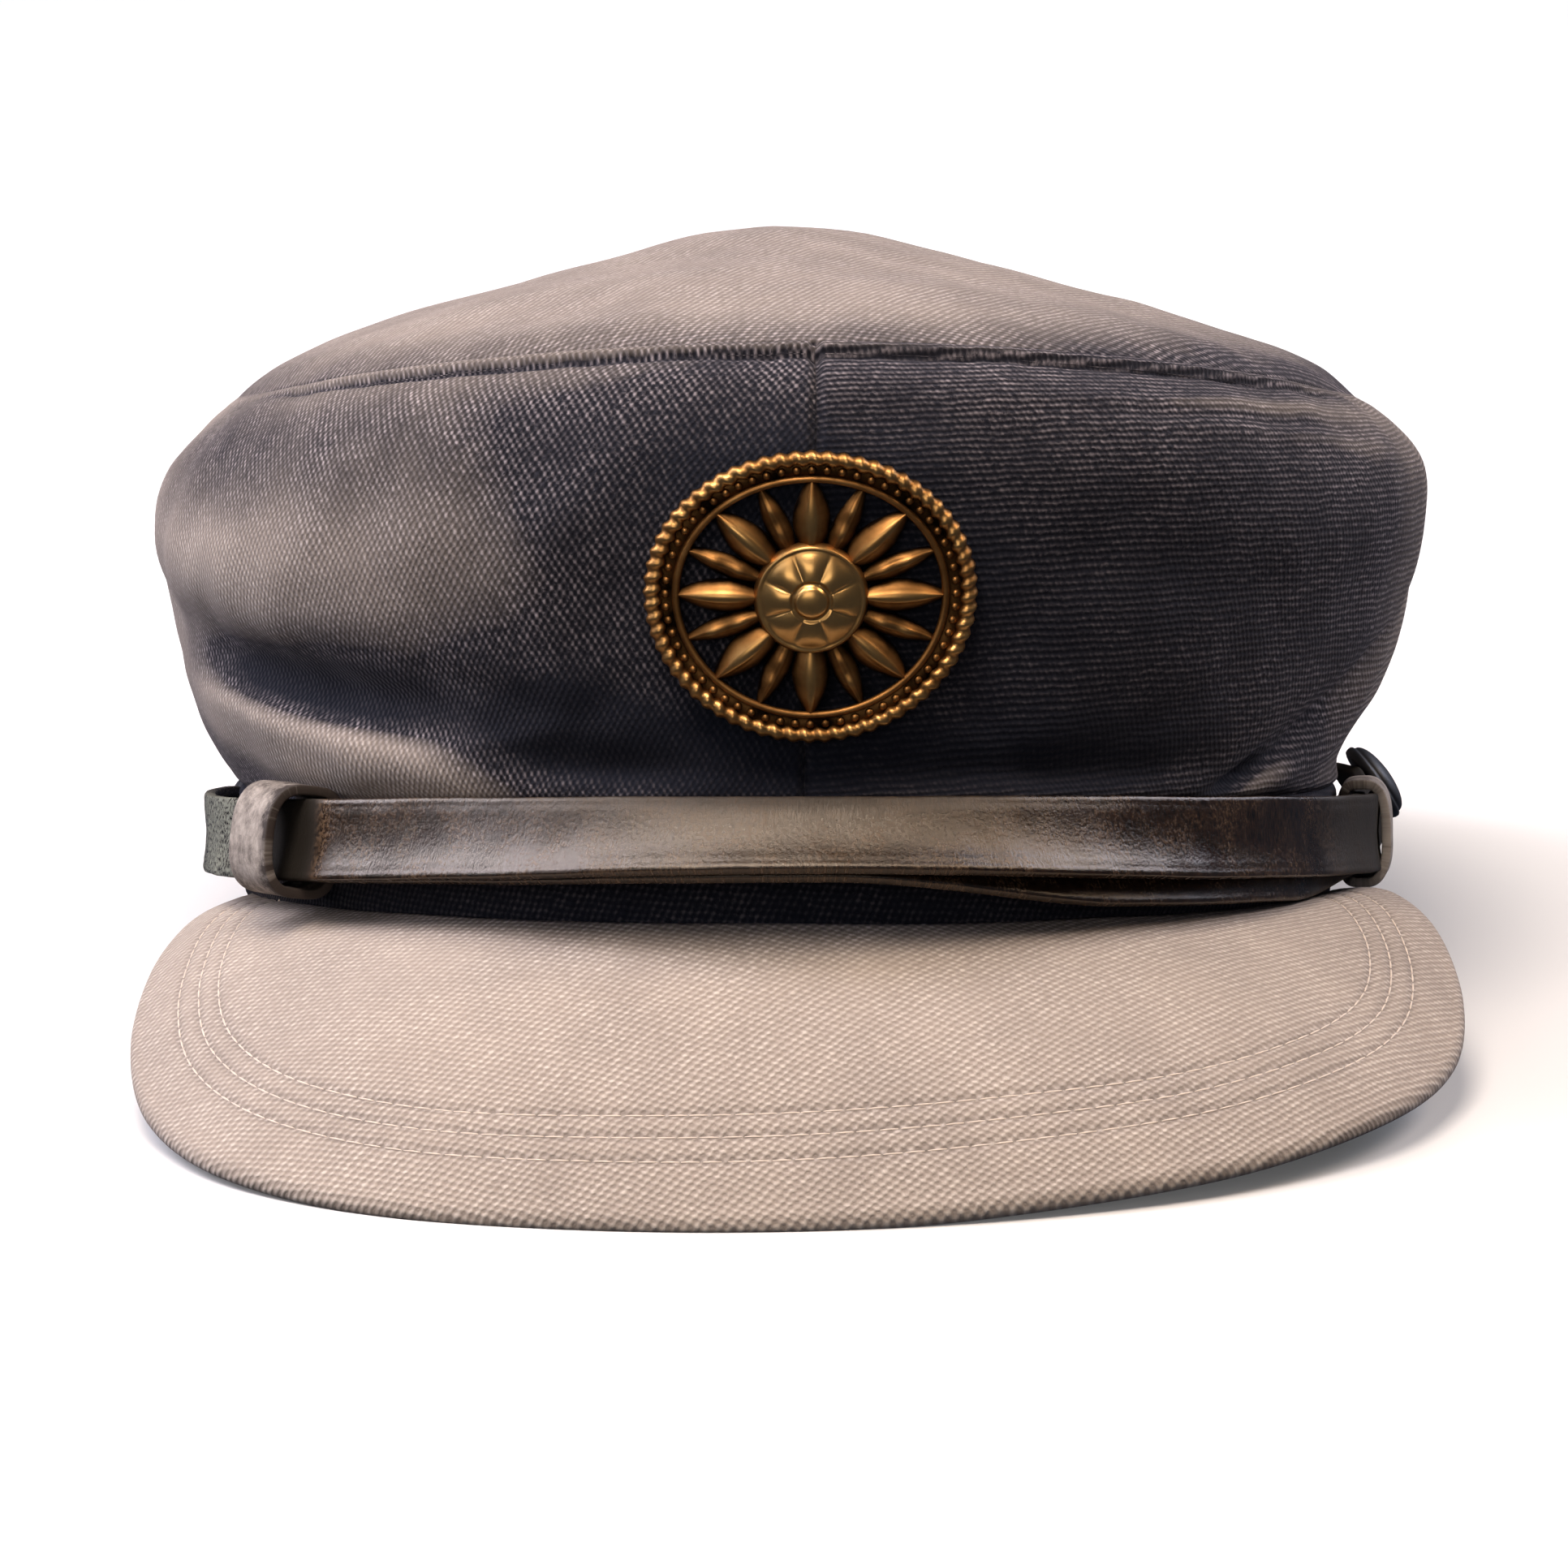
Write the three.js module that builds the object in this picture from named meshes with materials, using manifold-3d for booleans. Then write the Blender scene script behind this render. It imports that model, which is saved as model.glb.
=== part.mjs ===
// Soft-crowned peaked cap of blue-grey twill with a doubled leather chin strap and a brass badge.
// Millimetres. The cap faces -Y, +X is on the viewer's right, +Z is up. The shapes are worked out in
// the cap's own frame, whose floor is the lower edge of the band, and the whole cap is then tipped
// back so that it rests on the front edge of its peak and on the back of its band.

import * as THREE from 'three';
import { ParametricGeometry } from 'three/addons/geometries/ParametricGeometry.js';
import { mergeGeometries, mergeVertices } from 'three/addons/utils/BufferGeometryUtils.js';
import Module from 'manifold-3d';

const wasm = await Module();
wasm.setup();

const { clamp, degToRad, lerp, smoothstep } = THREE.MathUtils;

// Head oval, measured outside the cloth of the band
const HEAD_HALF_WIDTH = 81;
const HEAD_HALF_LENGTH = 101;
const MEAN_RADIUS = (HEAD_HALF_WIDTH + HEAD_HALF_LENGTH) / 2;
const CLOTH = 2;
const SEAM_GAP = 0.4;

// Crown sides: a row for each section from the band seam up to the top seam. "Out" is the distance
// outside the head oval and "Up" the height, at the front, at the sides and at the back.
const CROWN_ROWS = [
  { frontOut: 0.0, frontUp: 20.5, sideOut: 1.0, sideUp: 17.0, rearOut: 0.5, rearUp: 17.0 },
  { frontOut: 2.6, frontUp: 30.0, sideOut: 5.0, sideUp: 26.0, rearOut: 4.2, rearUp: 23.5 },
  { frontOut: 5.6, frontUp: 40.0, sideOut: 8.9, sideUp: 35.5, rearOut: 8.2, rearUp: 31.0 },
  { frontOut: 8.6, frontUp: 50.0, sideOut: 11.4, sideUp: 45.0, rearOut: 11.8, rearUp: 38.5 },
  { frontOut: 10.8, frontUp: 60.0, sideOut: 13.0, sideUp: 54.5, rearOut: 14.0, rearUp: 46.0 },
  { frontOut: 11.0, frontUp: 69.0, sideOut: 11.6, sideUp: 63.5, rearOut: 13.5, rearUp: 53.5 },
  { frontOut: 7.5, frontUp: 77.0, sideOut: 6.6, sideUp: 70.0, rearOut: 9.0, rearUp: 59.5 },
  { frontOut: 0.0, frontUp: 81.5, sideOut: 2.0, sideUp: 74.0, rearOut: 1.5, rearUp: 62.5 },
];
const CROWN_LEAN_RIGHT = { most: 1.3, fromUp: 48, toUp: 72 };

// Crown tip: shares of the way in and of the rise, from the top seam to the crest
const TIP_ROWS = [
  { inward: 0, rise: 0 },
  { inward: 0.06, rise: 0.165 },
  { inward: 0.16, rise: 0.31 },
  { inward: 0.31, rise: 0.475 },
  { inward: 0.49, rise: 0.645 },
  { inward: 0.68, rise: 0.815 },
  { inward: 0.86, rise: 0.965 },
  { inward: 1, rise: 1 },
];
const CREST = new THREE.Vector3(-2.5, -12, 99);

// Folds and dents of the crown's cloth: where each lies (degrees from the front, to the right, and
// height), how wide and tall it is, how deep it goes in (below zero it stands out), and its slant
const FOLDS = [
  { name: 'left sag', azimuth: -56, up: 36, wide: 32, tall: 5.4, deep: 5, slant: -8 },
  { name: 'roll over the left sag', azimuth: -58, up: 50, wide: 40, tall: 9, deep: -1.2, slant: 4 },
  { name: 'roll under the left sag', azimuth: -54, up: 28, wide: 28, tall: 4.5, deep: -2.4, slant: -8 },
  { name: 'badge hollow', azimuth: 1, up: 46, wide: 30, tall: 26, deep: 2.2, slant: 0 },
  { name: 'left pocket over the strap', azimuth: -19, up: 25, wide: 12, tall: 3, deep: 1.8, slant: 0 },
  { name: 'right pocket over the strap', azimuth: 24, up: 24, wide: 24, tall: 3, deep: 1.8, slant: 0 },
  { name: 'right crease', azimuth: 58, up: 27, wide: 24, tall: 3.5, deep: 3, slant: 26 },
  { name: 'roll under the right crease', azimuth: 52, up: 21.5, wide: 12, tall: 3, deep: -1.2, slant: 20 },
  { name: 'right shoulder', azimuth: 62, up: 62, wide: 30, tall: 12, deep: -1.2, slant: 0 },
  { name: 'right shoulder edge', azimuth: 90, up: 67, wide: 30, tall: 6, deep: -1, slant: 0 },
  { name: 'right gather over the band', azimuth: 88, up: 23, wide: 34, tall: 6, deep: 2.2, slant: 0 },
  { name: 'left fullness over the band', azimuth: -86, up: 26, wide: 30, tall: 7, deep: -1.1, slant: 0 },
  { name: 'back hollow left', azimuth: 150, up: 33, wide: 26, tall: 7, deep: 2.4, slant: -6 },
  { name: 'back hollow right', azimuth: -146, up: 31, wide: 24, tall: 6, deep: 2.6, slant: 8 },
  { name: 'right back dent', azimuth: 108, up: 38, wide: 20, tall: 7, deep: 2.0, slant: 10 },
  { name: 'left back dent', azimuth: -112, up: 40, wide: 20, tall: 8, deep: 2.2, slant: -10 },
];

// Peak: a row for each station of its edge, from the middle of the front round to the corners. It is
// cut lower on the viewer's left.
const PEAK_THICK = 3;
const PEAK_NOSE = 0.05;
const PEAK_ROOT = { middleUp: 2.6, cornerUp: 0.4 };
const PEAK_SPREAD = 75;
const PEAK_CROWN = 3.2;
const PEAK_ROWS = [
  { side: 0, reach: -134, leftUp: -32.6, rightUp: -32.6 },
  { side: 28, reach: -131.5, leftUp: -32.9, rightUp: -30.4 },
  { side: 56, reach: -123, leftUp: -31.9, rightUp: -26.8 },
  { side: 77, reach: -108, leftUp: -28.9, rightUp: -22 },
  { side: 88.5, reach: -88, leftUp: -24.5, rightUp: -17.8 },
  { side: 92.4, reach: -69, leftUp: -17.3, rightUp: -11.1 },
  { side: 91.2, reach: -50, leftUp: -9.2, rightUp: -3.2 },
  { side: 87, reach: -34, leftUp: -3.5, rightUp: 0.8 },
  { side: 81.5, reach: -25, leftUp: -0.8, rightUp: 0.8 },
];

// Lengths of cloth, near the seams, for one whole level of the band, the sides and the tip
const BAND_RUN = 17;
const SIDE_RUN = 72;
const TIP_RUN = 45;

// Where the cap rests: the height of the resting plane at the back of the band and under the front
// of the peak, and its roll down to the viewer's left, in degrees, in the cap's own frame. Cloth that
// would reach below it is pressed flat.
const REST_UP_REAR = 1.3;
const REST_UP_FRONT = -32.2;
const REST_ROLL = 1.1;

// Chin strap: two leather layers hung on side buttons and held together by two sliding loops
const STRAP = { thick: 1.7, width: 11.4, endWidth: 8.4, sideUp: 9.6, frontRise: 5.75, rightEndUp: 14.5 };
const STRAP_LEAN = { ahead: 8, middle: 28, reach: 34 };
const STRAP_RISE_FADE = 1.3;
const LAYER_GAP = 0.5;
const STRAP_CLEAR = 0.9;
const INNER_DROP = 3.2;

// Where the strap's changes run, in degrees from the front to the right, and how far it stands off
const RIGHT_END_TURNS = { from: 82, to: 91 };
const LEFT_END_NARROWS = { from: -94, to: -101 };
const SLIDER_PROUD = { most: 2.3, full: 6, none: 22 };
const LEFT_SIDE_PROUD = { most: 3.2, none: -60, full: -74, endsFrom: -88, endsTo: -100 };
const INNER_DROPS = { none: 2, full: 30, endsFrom: 56, endsTo: 72 };
const OUTER_STEPS_OUT = { from: 22, to: 8 };
const LEFT_BUTTON = -104;
const RIGHT_BUTTON = 93;
const LEFT_SLIDER = -53.5;
const RIGHT_SLIDER = 79.5;
const SLIDER = { length: 11, wall: 1.4, spareHeight: 0.8, spareIn: 0.7, round: 1.2 };
const LEFT_LOOP = { spareOut: 4.6, outerRound: 4.5 };
const RIGHT_LOOP = { spareOut: 0.6, outerRound: 1.2 };
const RIGHT_END_TILT = 35;
const LEFT_SHANK = 1.9;
const RIGHT_SHANK = 6.5;
const BUTTON = {
  radius: 6.3, dome: 3.4, domeShare: 0.97, rim: 1.4, edge: 0.6, shankRadius: 1.5, holeRadius: 1.9,
};
const END_BEYOND_BUTTON = 3.5;
const END_BEYOND_LEFT_SLIDER = 5;
const END_BEYOND_RIGHT_SLIDER = 3;

// Badge: an open rosette of rays between a beaded oval ring and a domed boss
const BADGE = {
  halfWidth: 22, halfHeight: 19.8, up: 48.5, side: 0.6, lean: 13, plate: 1.3, ring: 3.4, bend: 85,
  standOff: 0.15, level: 0.47,
};
const BADGE_ROLLS = [{ share: 0.955, thick: 0.9 }, { share: 0.86, thick: 0.6 }];
const BADGE_ROLL_RISE = 1.2;
const RAYS = { count: 16, lap: 0.9, long: { half: 2.3, rise: 2 }, short: { half: 1.5, rise: 1.5 } };
const BOSS = { radius: 6, collar: 1.6, collarRise: 0.5, lip: 0.6, lipRise: 0.9, seat: 0.4, rise: 3.2 };
const LUG = { apart: 18, width: 2.4, deep: 8.6, hole: 0.95, eyeWall: 0.6, play: 0.7 };
const PIN = { radius: 0.65, length: 26 };

// Colours of the cloth, leather, brass and buttons
const FINISH = {
  twill: { color: 0x5b5d66, roughness: 0.95, metalness: 0 },
  leather: { color: 0x2a1e19, roughness: 0.35, metalness: 0 },
  loop: { color: 0x6d6259, roughness: 0.7, metalness: 0 },
  brass: { color: 0x9c6b2c, roughness: 0.4, metalness: 1 },
  button: { color: 0x15151a, roughness: 0.3, metalness: 0 },
};

// One smooth curve through two columns of a table
function columnCurve(rows, first, second) {
  return new THREE.SplineCurve(rows.map((row) => new THREE.Vector2(row[first], row[second])));
}

const frontLine = columnCurve(CROWN_ROWS, 'frontOut', 'frontUp');
const sideLine = columnCurve(CROWN_ROWS, 'sideOut', 'sideUp');
const rearLine = columnCurve(CROWN_ROWS, 'rearOut', 'rearUp');
const tipLine = columnCurve(TIP_ROWS, 'inward', 'rise');

function wrapAngle(angle) {
  return Math.atan2(Math.sin(angle), Math.cos(angle));
}

// How far the folds push the cloth outwards at one place of the crown's sides
function foldOut(azimuth, up) {
  let out = 0;
  for (const fold of FOLDS) {
    const along = wrapAngle(azimuth - degToRad(fold.azimuth)) * MEAN_RADIUS;
    const tilt = degToRad(fold.slant);
    const over = along * Math.cos(tilt) + (up - fold.up) * Math.sin(tilt);
    const above = (up - fold.up) * Math.cos(tilt) - along * Math.sin(tilt);
    out -= fold.deep * Math.exp(-((over / fold.wide) ** 2) - (above / fold.tall) ** 2);
  }
  return out;
}

// Section of the crown's side at one azimuth: a blend of the front, side and rear lines
function crownSection(azimuth, share) {
  const ahead = Math.cos(azimuth);
  const front = ahead > 0 ? ahead * ahead : 0;
  const rear = ahead < 0 ? ahead * ahead : 0;
  const side = 1 - front - rear;
  const section = new THREE.Vector2();
  section.addScaledVector(frontLine.getPoint(share), front);
  section.addScaledVector(sideLine.getPoint(share), side);
  section.addScaledVector(rearLine.getPoint(share), rear);
  const ease = smoothstep(share, 0, 0.08) * (1 - smoothstep(share, 0.92, 1));
  section.x += foldOut(azimuth, section.y) * ease;
  return section;
}

function ovalPoint(azimuth, out, up) {
  const side = (HEAD_HALF_WIDTH + out) * Math.sin(azimuth);
  return new THREE.Vector3(side, -(HEAD_HALF_LENGTH + out) * Math.cos(azimuth), up);
}

// Outside of the cap's cloth: level -1 to 0 is the band, 0 to 1 the crown's sides, 1 to 2 its tip
function skin(azimuth, level) {
  if (level < 0) {
    const top = crownSection(azimuth, 0);
    return ovalPoint(azimuth, top.x * (1 + level), top.y * (1 + level));
  }
  const section = crownSection(azimuth, Math.min(level, 1));
  const point = ovalPoint(azimuth, section.x, section.y);
  point.x += CROWN_LEAN_RIGHT.most * smoothstep(section.y, CROWN_LEAN_RIGHT.fromUp, CROWN_LEAN_RIGHT.toUp);
  if (level <= 1) {
    return point;
  }
  const toCrest = tipLine.getPoint(level - 1);
  return new THREE.Vector3(
    lerp(point.x, CREST.x, toCrest.x),
    lerp(point.y, CREST.y, toCrest.x),
    lerp(point.z, CREST.z, toCrest.y),
  );
}

function skinNormal(azimuth, level) {
  const step = 0.01;
  const seam = Math.round(level);
  const at = Math.abs(level - seam) < step ? seam : level;
  const round = skin(azimuth + step, at).sub(skin(azimuth - step, at));
  const rise = skin(azimuth, Math.min(at + step, 2)).sub(skin(azimuth, Math.max(at - step, -1)));
  if (at > 2 - step) {
    return new THREE.Vector3(0, 0, 1);
  }
  return round.cross(rise).normalize();
}

function skinInside(azimuth, level) {
  return skin(azimuth, level).addScaledVector(skinNormal(azimuth, level), -CLOTH);
}

// Joins open faces into one closed body with its faces outwards
function closedBody(faces) {
  const parts = faces.map((face) => {
    const part = face.index ? face : mergeVertices(face);
    part.deleteAttribute('normal');
    part.deleteAttribute('uv');
    return part;
  });
  const welded = mergeVertices(mergeGeometries(parts), 1e-4);
  const corners = welded.index.array;
  const kept = [];
  for (let i = 0; i < corners.length; i += 3) {
    const [a, b, c] = corners.subarray(i, i + 3);
    if (a !== b && b !== c && c !== a) {
      kept.push(a, b, c);
    }
  }
  welded.setIndex(kept);
  if (bodyVolume(welded) < 0) {
    turnFaces(welded);
  }
  return welded;
}

function bodyVolume(body) {
  const position = body.attributes.position;
  const corners = [0, 1, 2].map(() => new THREE.Vector3());
  let volume = 0;
  for (let i = 0; i < body.index.count; i += 3) {
    corners.forEach((corner, k) => corner.fromBufferAttribute(position, body.index.getX(i + k)));
    volume += corners[0].dot(corners[1].cross(corners[2])) / 6;
  }
  return volume;
}

function turnFaces(body) {
  const corners = body.index.array;
  for (let i = 0; i < corners.length; i += 3) {
    [corners[i + 1], corners[i + 2]] = [corners[i + 2], corners[i + 1]];
  }
}

// A wall between an outside and an inside surface, each a function of two shares from 0 to 1
function wall(outside, inside, across, up, { ring = false } = {}) {
  const face = (surface, slices, stacks) =>
    new ParametricGeometry((u, v, point) => point.copy(surface(u, v)), slices, stacks);
  const faces = [
    face(outside, across, up),
    face((u, v) => inside(u, 1 - v), across, up),
    face((u, v) => inside(u, 0).lerp(outside(u, 0), v), across, 1),
    face((u, v) => outside(u, 1).lerp(inside(u, 1), v), across, 1),
  ];
  if (!ring) {
    faces.push(face((u, v) => inside(0, v).lerp(outside(0, v), u), 1, up));
    faces.push(face((u, v) => outside(1, v).lerp(inside(1, v), u), 1, up));
  }
  return closedBody(faces);
}

// Solids for cutting and joining
function asSolid(geometry) {
  const body = geometry.index && !geometry.attributes.normal ? geometry : closedBody([geometry]);
  return new wasm.Manifold(new wasm.Mesh({
    numProp: 3,
    vertProperties: Float32Array.from(body.attributes.position.array),
    triVerts: Uint32Array.from(body.index.array),
  }));
}

function asGeometry(solid) {
  const mesh = solid.getMesh();
  const geometry = new THREE.BufferGeometry();
  geometry.setAttribute('position', new THREE.BufferAttribute(mesh.vertProperties.slice(), 3));
  geometry.setIndex([...mesh.triVerts]);
  return geometry;
}

// The plane that the cap rests on, in the cap's own frame
const rearBottom = skin(Math.PI, -1);
const restRise = (REST_UP_REAR - REST_UP_FRONT) / (rearBottom.y - PEAK_ROWS[0].reach);
const restRoll = Math.tan(degToRad(REST_ROLL));
const restNormal = new THREE.Vector3(-restRoll, -restRise, 1).normalize();

function restHeight(x, y) {
  return REST_UP_REAR + (y - rearBottom.y) * restRise + x * restRoll;
}

function pressedFlat(geometry) {
  const position = geometry.attributes.position;
  for (let i = 0; i < position.count; i += 1) {
    const floor = restHeight(position.getX(i), position.getY(i));
    position.setZ(i, Math.max(position.getZ(i), floor));
  }
  return geometry;
}

// Crown and band
function crownTip() {
  const level = (v) => lerp(1 + SEAM_GAP / 2 / TIP_RUN, 2, v);
  const around = (u) => lerp(-Math.PI, Math.PI, u);
  return wall((u, v) => skin(around(u), level(v)), (u, v) => skinInside(around(u), level(v)), 56, 6, {
    ring: true,
  });
}

function sidePanel(side) {
  const edge = degToRad(0.1);
  const around = (u) => side * lerp(edge, Math.PI - edge, u);
  const low = SEAM_GAP / 2 / SIDE_RUN;
  const level = (v) => lerp(low, 1 - low, v);
  return wall((u, v) => skin(around(u), level(v)), (u, v) => skinInside(around(u), level(v)), 28, 12);
}

function headBand() {
  const around = (u) => lerp(-Math.PI, Math.PI, u);
  const level = (v) => lerp(-1, -SEAM_GAP / 2 / BAND_RUN, v);
  const band = wall((u, v) => skin(around(u), level(v)), (u, v) => skinInside(around(u), level(v)), 56, 2, {
    ring: true,
  });
  return pressedFlat(band);
}

// Peak: its middle surface runs from the edge (share 0) in to the band (share 1)
const peakEdge = new THREE.CatmullRomCurve3([
  ...PEAK_ROWS.slice(1).reverse().map((row) => new THREE.Vector3(-row.side, row.reach, row.leftUp)),
  ...PEAK_ROWS.map((row) => new THREE.Vector3(row.side, row.reach, row.rightUp)),
], false, 'catmullrom', 0.5);

function peakMiddle(across, inward) {
  const swing = 2 * across - 1;
  const edge = peakEdge.getPoint(across);
  const azimuth = degToRad(PEAK_SPREAD) * swing;
  const rootUp = lerp(PEAK_ROOT.middleUp, PEAK_ROOT.cornerUp, swing ** 2);
  const root = ovalPoint(azimuth, SEAM_GAP, rootUp);
  const lift = Math.SQRT1_2 * PEAK_CROWN * 4 * inward * (1 - inward) * (1 - swing ** 4);
  const point = edge.lerp(root, inward);
  point.x += lift * Math.sin(azimuth);
  point.y -= lift * Math.cos(azimuth);
  point.z += lift;
  return point;
}

function peakFace(across, inward, side) {
  const step = 0.01;
  const [left, right] = [Math.max(across - step, 0), Math.min(across + step, 1)];
  const [out, back] = [Math.max(inward - step, 0), Math.min(inward + step, 1)];
  const run = peakMiddle(right, inward).sub(peakMiddle(left, inward));
  const rise = peakMiddle(across, back).sub(peakMiddle(across, out));
  const normal = run.cross(rise).normalize();
  const upright = new THREE.Vector3(0, 0, Math.min(1 / Math.max(normal.z, 0.1), 1.5));
  const offset = normal.lerp(upright, smoothstep(inward, 0.8, 1));
  const nose = clamp(inward / PEAK_NOSE, 0, 1);
  const half = PEAK_THICK / 2 * Math.sqrt(1 - (1 - nose) ** 2);
  return peakMiddle(across, inward).addScaledVector(offset, side * half);
}

function peakSolid() {
  const inward = (v) => v ** 2;
  const peak = wall((u, v) => peakFace(u, inward(v), 1), (u, v) => peakFace(u, inward(v), -1), 36, 9);
  return pressedFlat(peak);
}

// Chin strap: the frame of its section at one azimuth
function strapFrame(azimuth, layer) {
  const degrees = THREE.MathUtils.radToDeg(azimuth);
  const outward = new THREE.Vector3(
    Math.sin(azimuth) / HEAD_HALF_WIDTH, -Math.cos(azimuth) / HEAD_HALF_LENGTH, 0,
  ).normalize();
  const rightEnd = smoothstep(degrees, RIGHT_END_TURNS.from, RIGHT_END_TURNS.to);
  const ahead = Math.max(Math.cos(azimuth), 0);
  const middleLean = STRAP_LEAN.middle * Math.exp(-((degrees / STRAP_LEAN.reach) ** 2));
  const frontLean = STRAP_LEAN.ahead * ahead + middleLean;
  const lean = degToRad(frontLean + RIGHT_END_TILT * rightEnd);
  const face = outward.clone().multiplyScalar(Math.cos(lean));
  face.z += Math.sin(lean);
  const across = outward.clone().multiplyScalar(-Math.sin(lean));
  across.z += Math.cos(lean);
  const rise = STRAP.frontRise * ahead ** STRAP_RISE_FADE;
  let up = STRAP.sideUp + rise + (STRAP.rightEndUp - STRAP.sideUp) * rightEnd;
  let out = STRAP_CLEAR + STRAP.thick / 2 + STRAP.width / 2 * Math.sin(lean);
  const nearSlider = Math.min(Math.abs(degrees - LEFT_SLIDER), Math.abs(degrees - RIGHT_SLIDER));
  out += SLIDER_PROUD.most * (1 - smoothstep(nearSlider, SLIDER_PROUD.full, SLIDER_PROUD.none));
  const leftSide = smoothstep(-degrees, -LEFT_SIDE_PROUD.none, -LEFT_SIDE_PROUD.full);
  const leftBack = smoothstep(-degrees, -LEFT_SIDE_PROUD.endsFrom, -LEFT_SIDE_PROUD.endsTo);
  out += LEFT_SIDE_PROUD.most * leftSide * (1 - leftBack);
  if (layer === 'inner') {
    const dropped = smoothstep(degrees, INNER_DROPS.none, INNER_DROPS.full);
    up -= INNER_DROP * dropped * (1 - smoothstep(degrees, INNER_DROPS.endsFrom, INNER_DROPS.endsTo));
  }
  const pastLoop = degrees - LEFT_SLIDER;
  const doubled = layer === 'outer' ? smoothstep(pastLoop, -OUTER_STEPS_OUT.from, -OUTER_STEPS_OUT.to) : 0;
  const centre = ovalPoint(azimuth, out, up).addScaledVector(face, (STRAP.thick + LAYER_GAP) * doubled);
  const leftEnd = smoothstep(-degrees, -LEFT_END_NARROWS.from, -LEFT_END_NARROWS.to);
  const width = lerp(STRAP.width, STRAP.endWidth, Math.max(rightEnd, leftEnd));
  return { centre, face, across, width };
}

function strapSolid(layer, from, to, steps) {
  const surface = (side) => (u, v) => {
    const frame = strapFrame(degToRad(lerp(from, to, u)), layer);
    const point = frame.centre.clone().addScaledVector(frame.across, frame.width * (v - 0.5));
    return point.addScaledVector(frame.face, side * STRAP.thick / 2);
  };
  return wall(surface(1), surface(-1), steps, 2);
}

// A piece's own axes set on the strap: X along it, Y up it and Z outwards
function setOnStrap(object, azimuth, layer, out = 0) {
  const frame = strapFrame(degToRad(azimuth), layer);
  const along = frame.across.clone().cross(frame.face);
  object.quaternion.setFromRotationMatrix(new THREE.Matrix4().makeBasis(along, frame.across, frame.face));
  object.position.copy(frame.centre).addScaledVector(frame.face, out);
  return object;
}

function roundedBox(shape, halfWidth, halfHeight, rightRound, leftRound) {
  shape.moveTo(-halfWidth + leftRound, -halfHeight);
  shape.lineTo(halfWidth - rightRound, -halfHeight);
  shape.absarc(halfWidth - rightRound, -halfHeight + rightRound, rightRound, -Math.PI / 2, 0);
  shape.absarc(halfWidth - rightRound, halfHeight - rightRound, rightRound, 0, Math.PI / 2);
  shape.absarc(-halfWidth + leftRound, halfHeight - leftRound, leftRound, Math.PI / 2, Math.PI);
  shape.absarc(-halfWidth + leftRound, -halfHeight + leftRound, leftRound, Math.PI, 1.5 * Math.PI);
  return shape;
}

// Sliding loop round both layers; its X is along the strap and the shape's left side turns outwards
function sliderSolid({ spareOut, outerRound }) {
  const deep = 2 * STRAP.thick + LAYER_GAP + SLIDER.spareIn + spareOut;
  const tall = STRAP.width + 2 * SLIDER.spareHeight;
  const { wall: thick, round } = SLIDER;
  const outer = roundedBox(
    new THREE.Shape(), deep / 2 + thick, tall / 2 + thick, round + thick, outerRound + thick,
  );
  outer.holes.push(roundedBox(new THREE.Path(), deep / 2, tall / 2, round, outerRound));
  const loop = new THREE.ExtrudeGeometry(outer, {
    depth: SLIDER.length, bevelEnabled: false, curveSegments: 4,
  });
  loop.translate(0, 0, -SLIDER.length / 2);
  loop.rotateY(Math.PI / 2);
  return closedBody([loop]);
}

// Domed button with its shank; its Z is outwards and its seat is at 0
function buttonSolid(shankLength) {
  const profile = [[0, -shankLength], [BUTTON.shankRadius, -shankLength], [BUTTON.shankRadius, 0]];
  profile.push([BUTTON.radius - BUTTON.edge, 0], [BUTTON.radius, BUTTON.edge], [BUTTON.radius, BUTTON.rim]);
  for (let k = 1; k <= 5; k += 1) {
    const turn = k / 5 * Math.PI / 2;
    const across = BUTTON.radius * BUTTON.domeShare * Math.cos(turn);
    profile.push([across, BUTTON.rim + BUTTON.dome * Math.sin(turn)]);
  }
  profile[profile.length - 1][0] = 0;
  const lathe = new THREE.LatheGeometry(profile.map(([x, y]) => new THREE.Vector2(x, y)), 20);
  lathe.rotateX(Math.PI / 2);
  return closedBody([lathe]);
}

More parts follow.
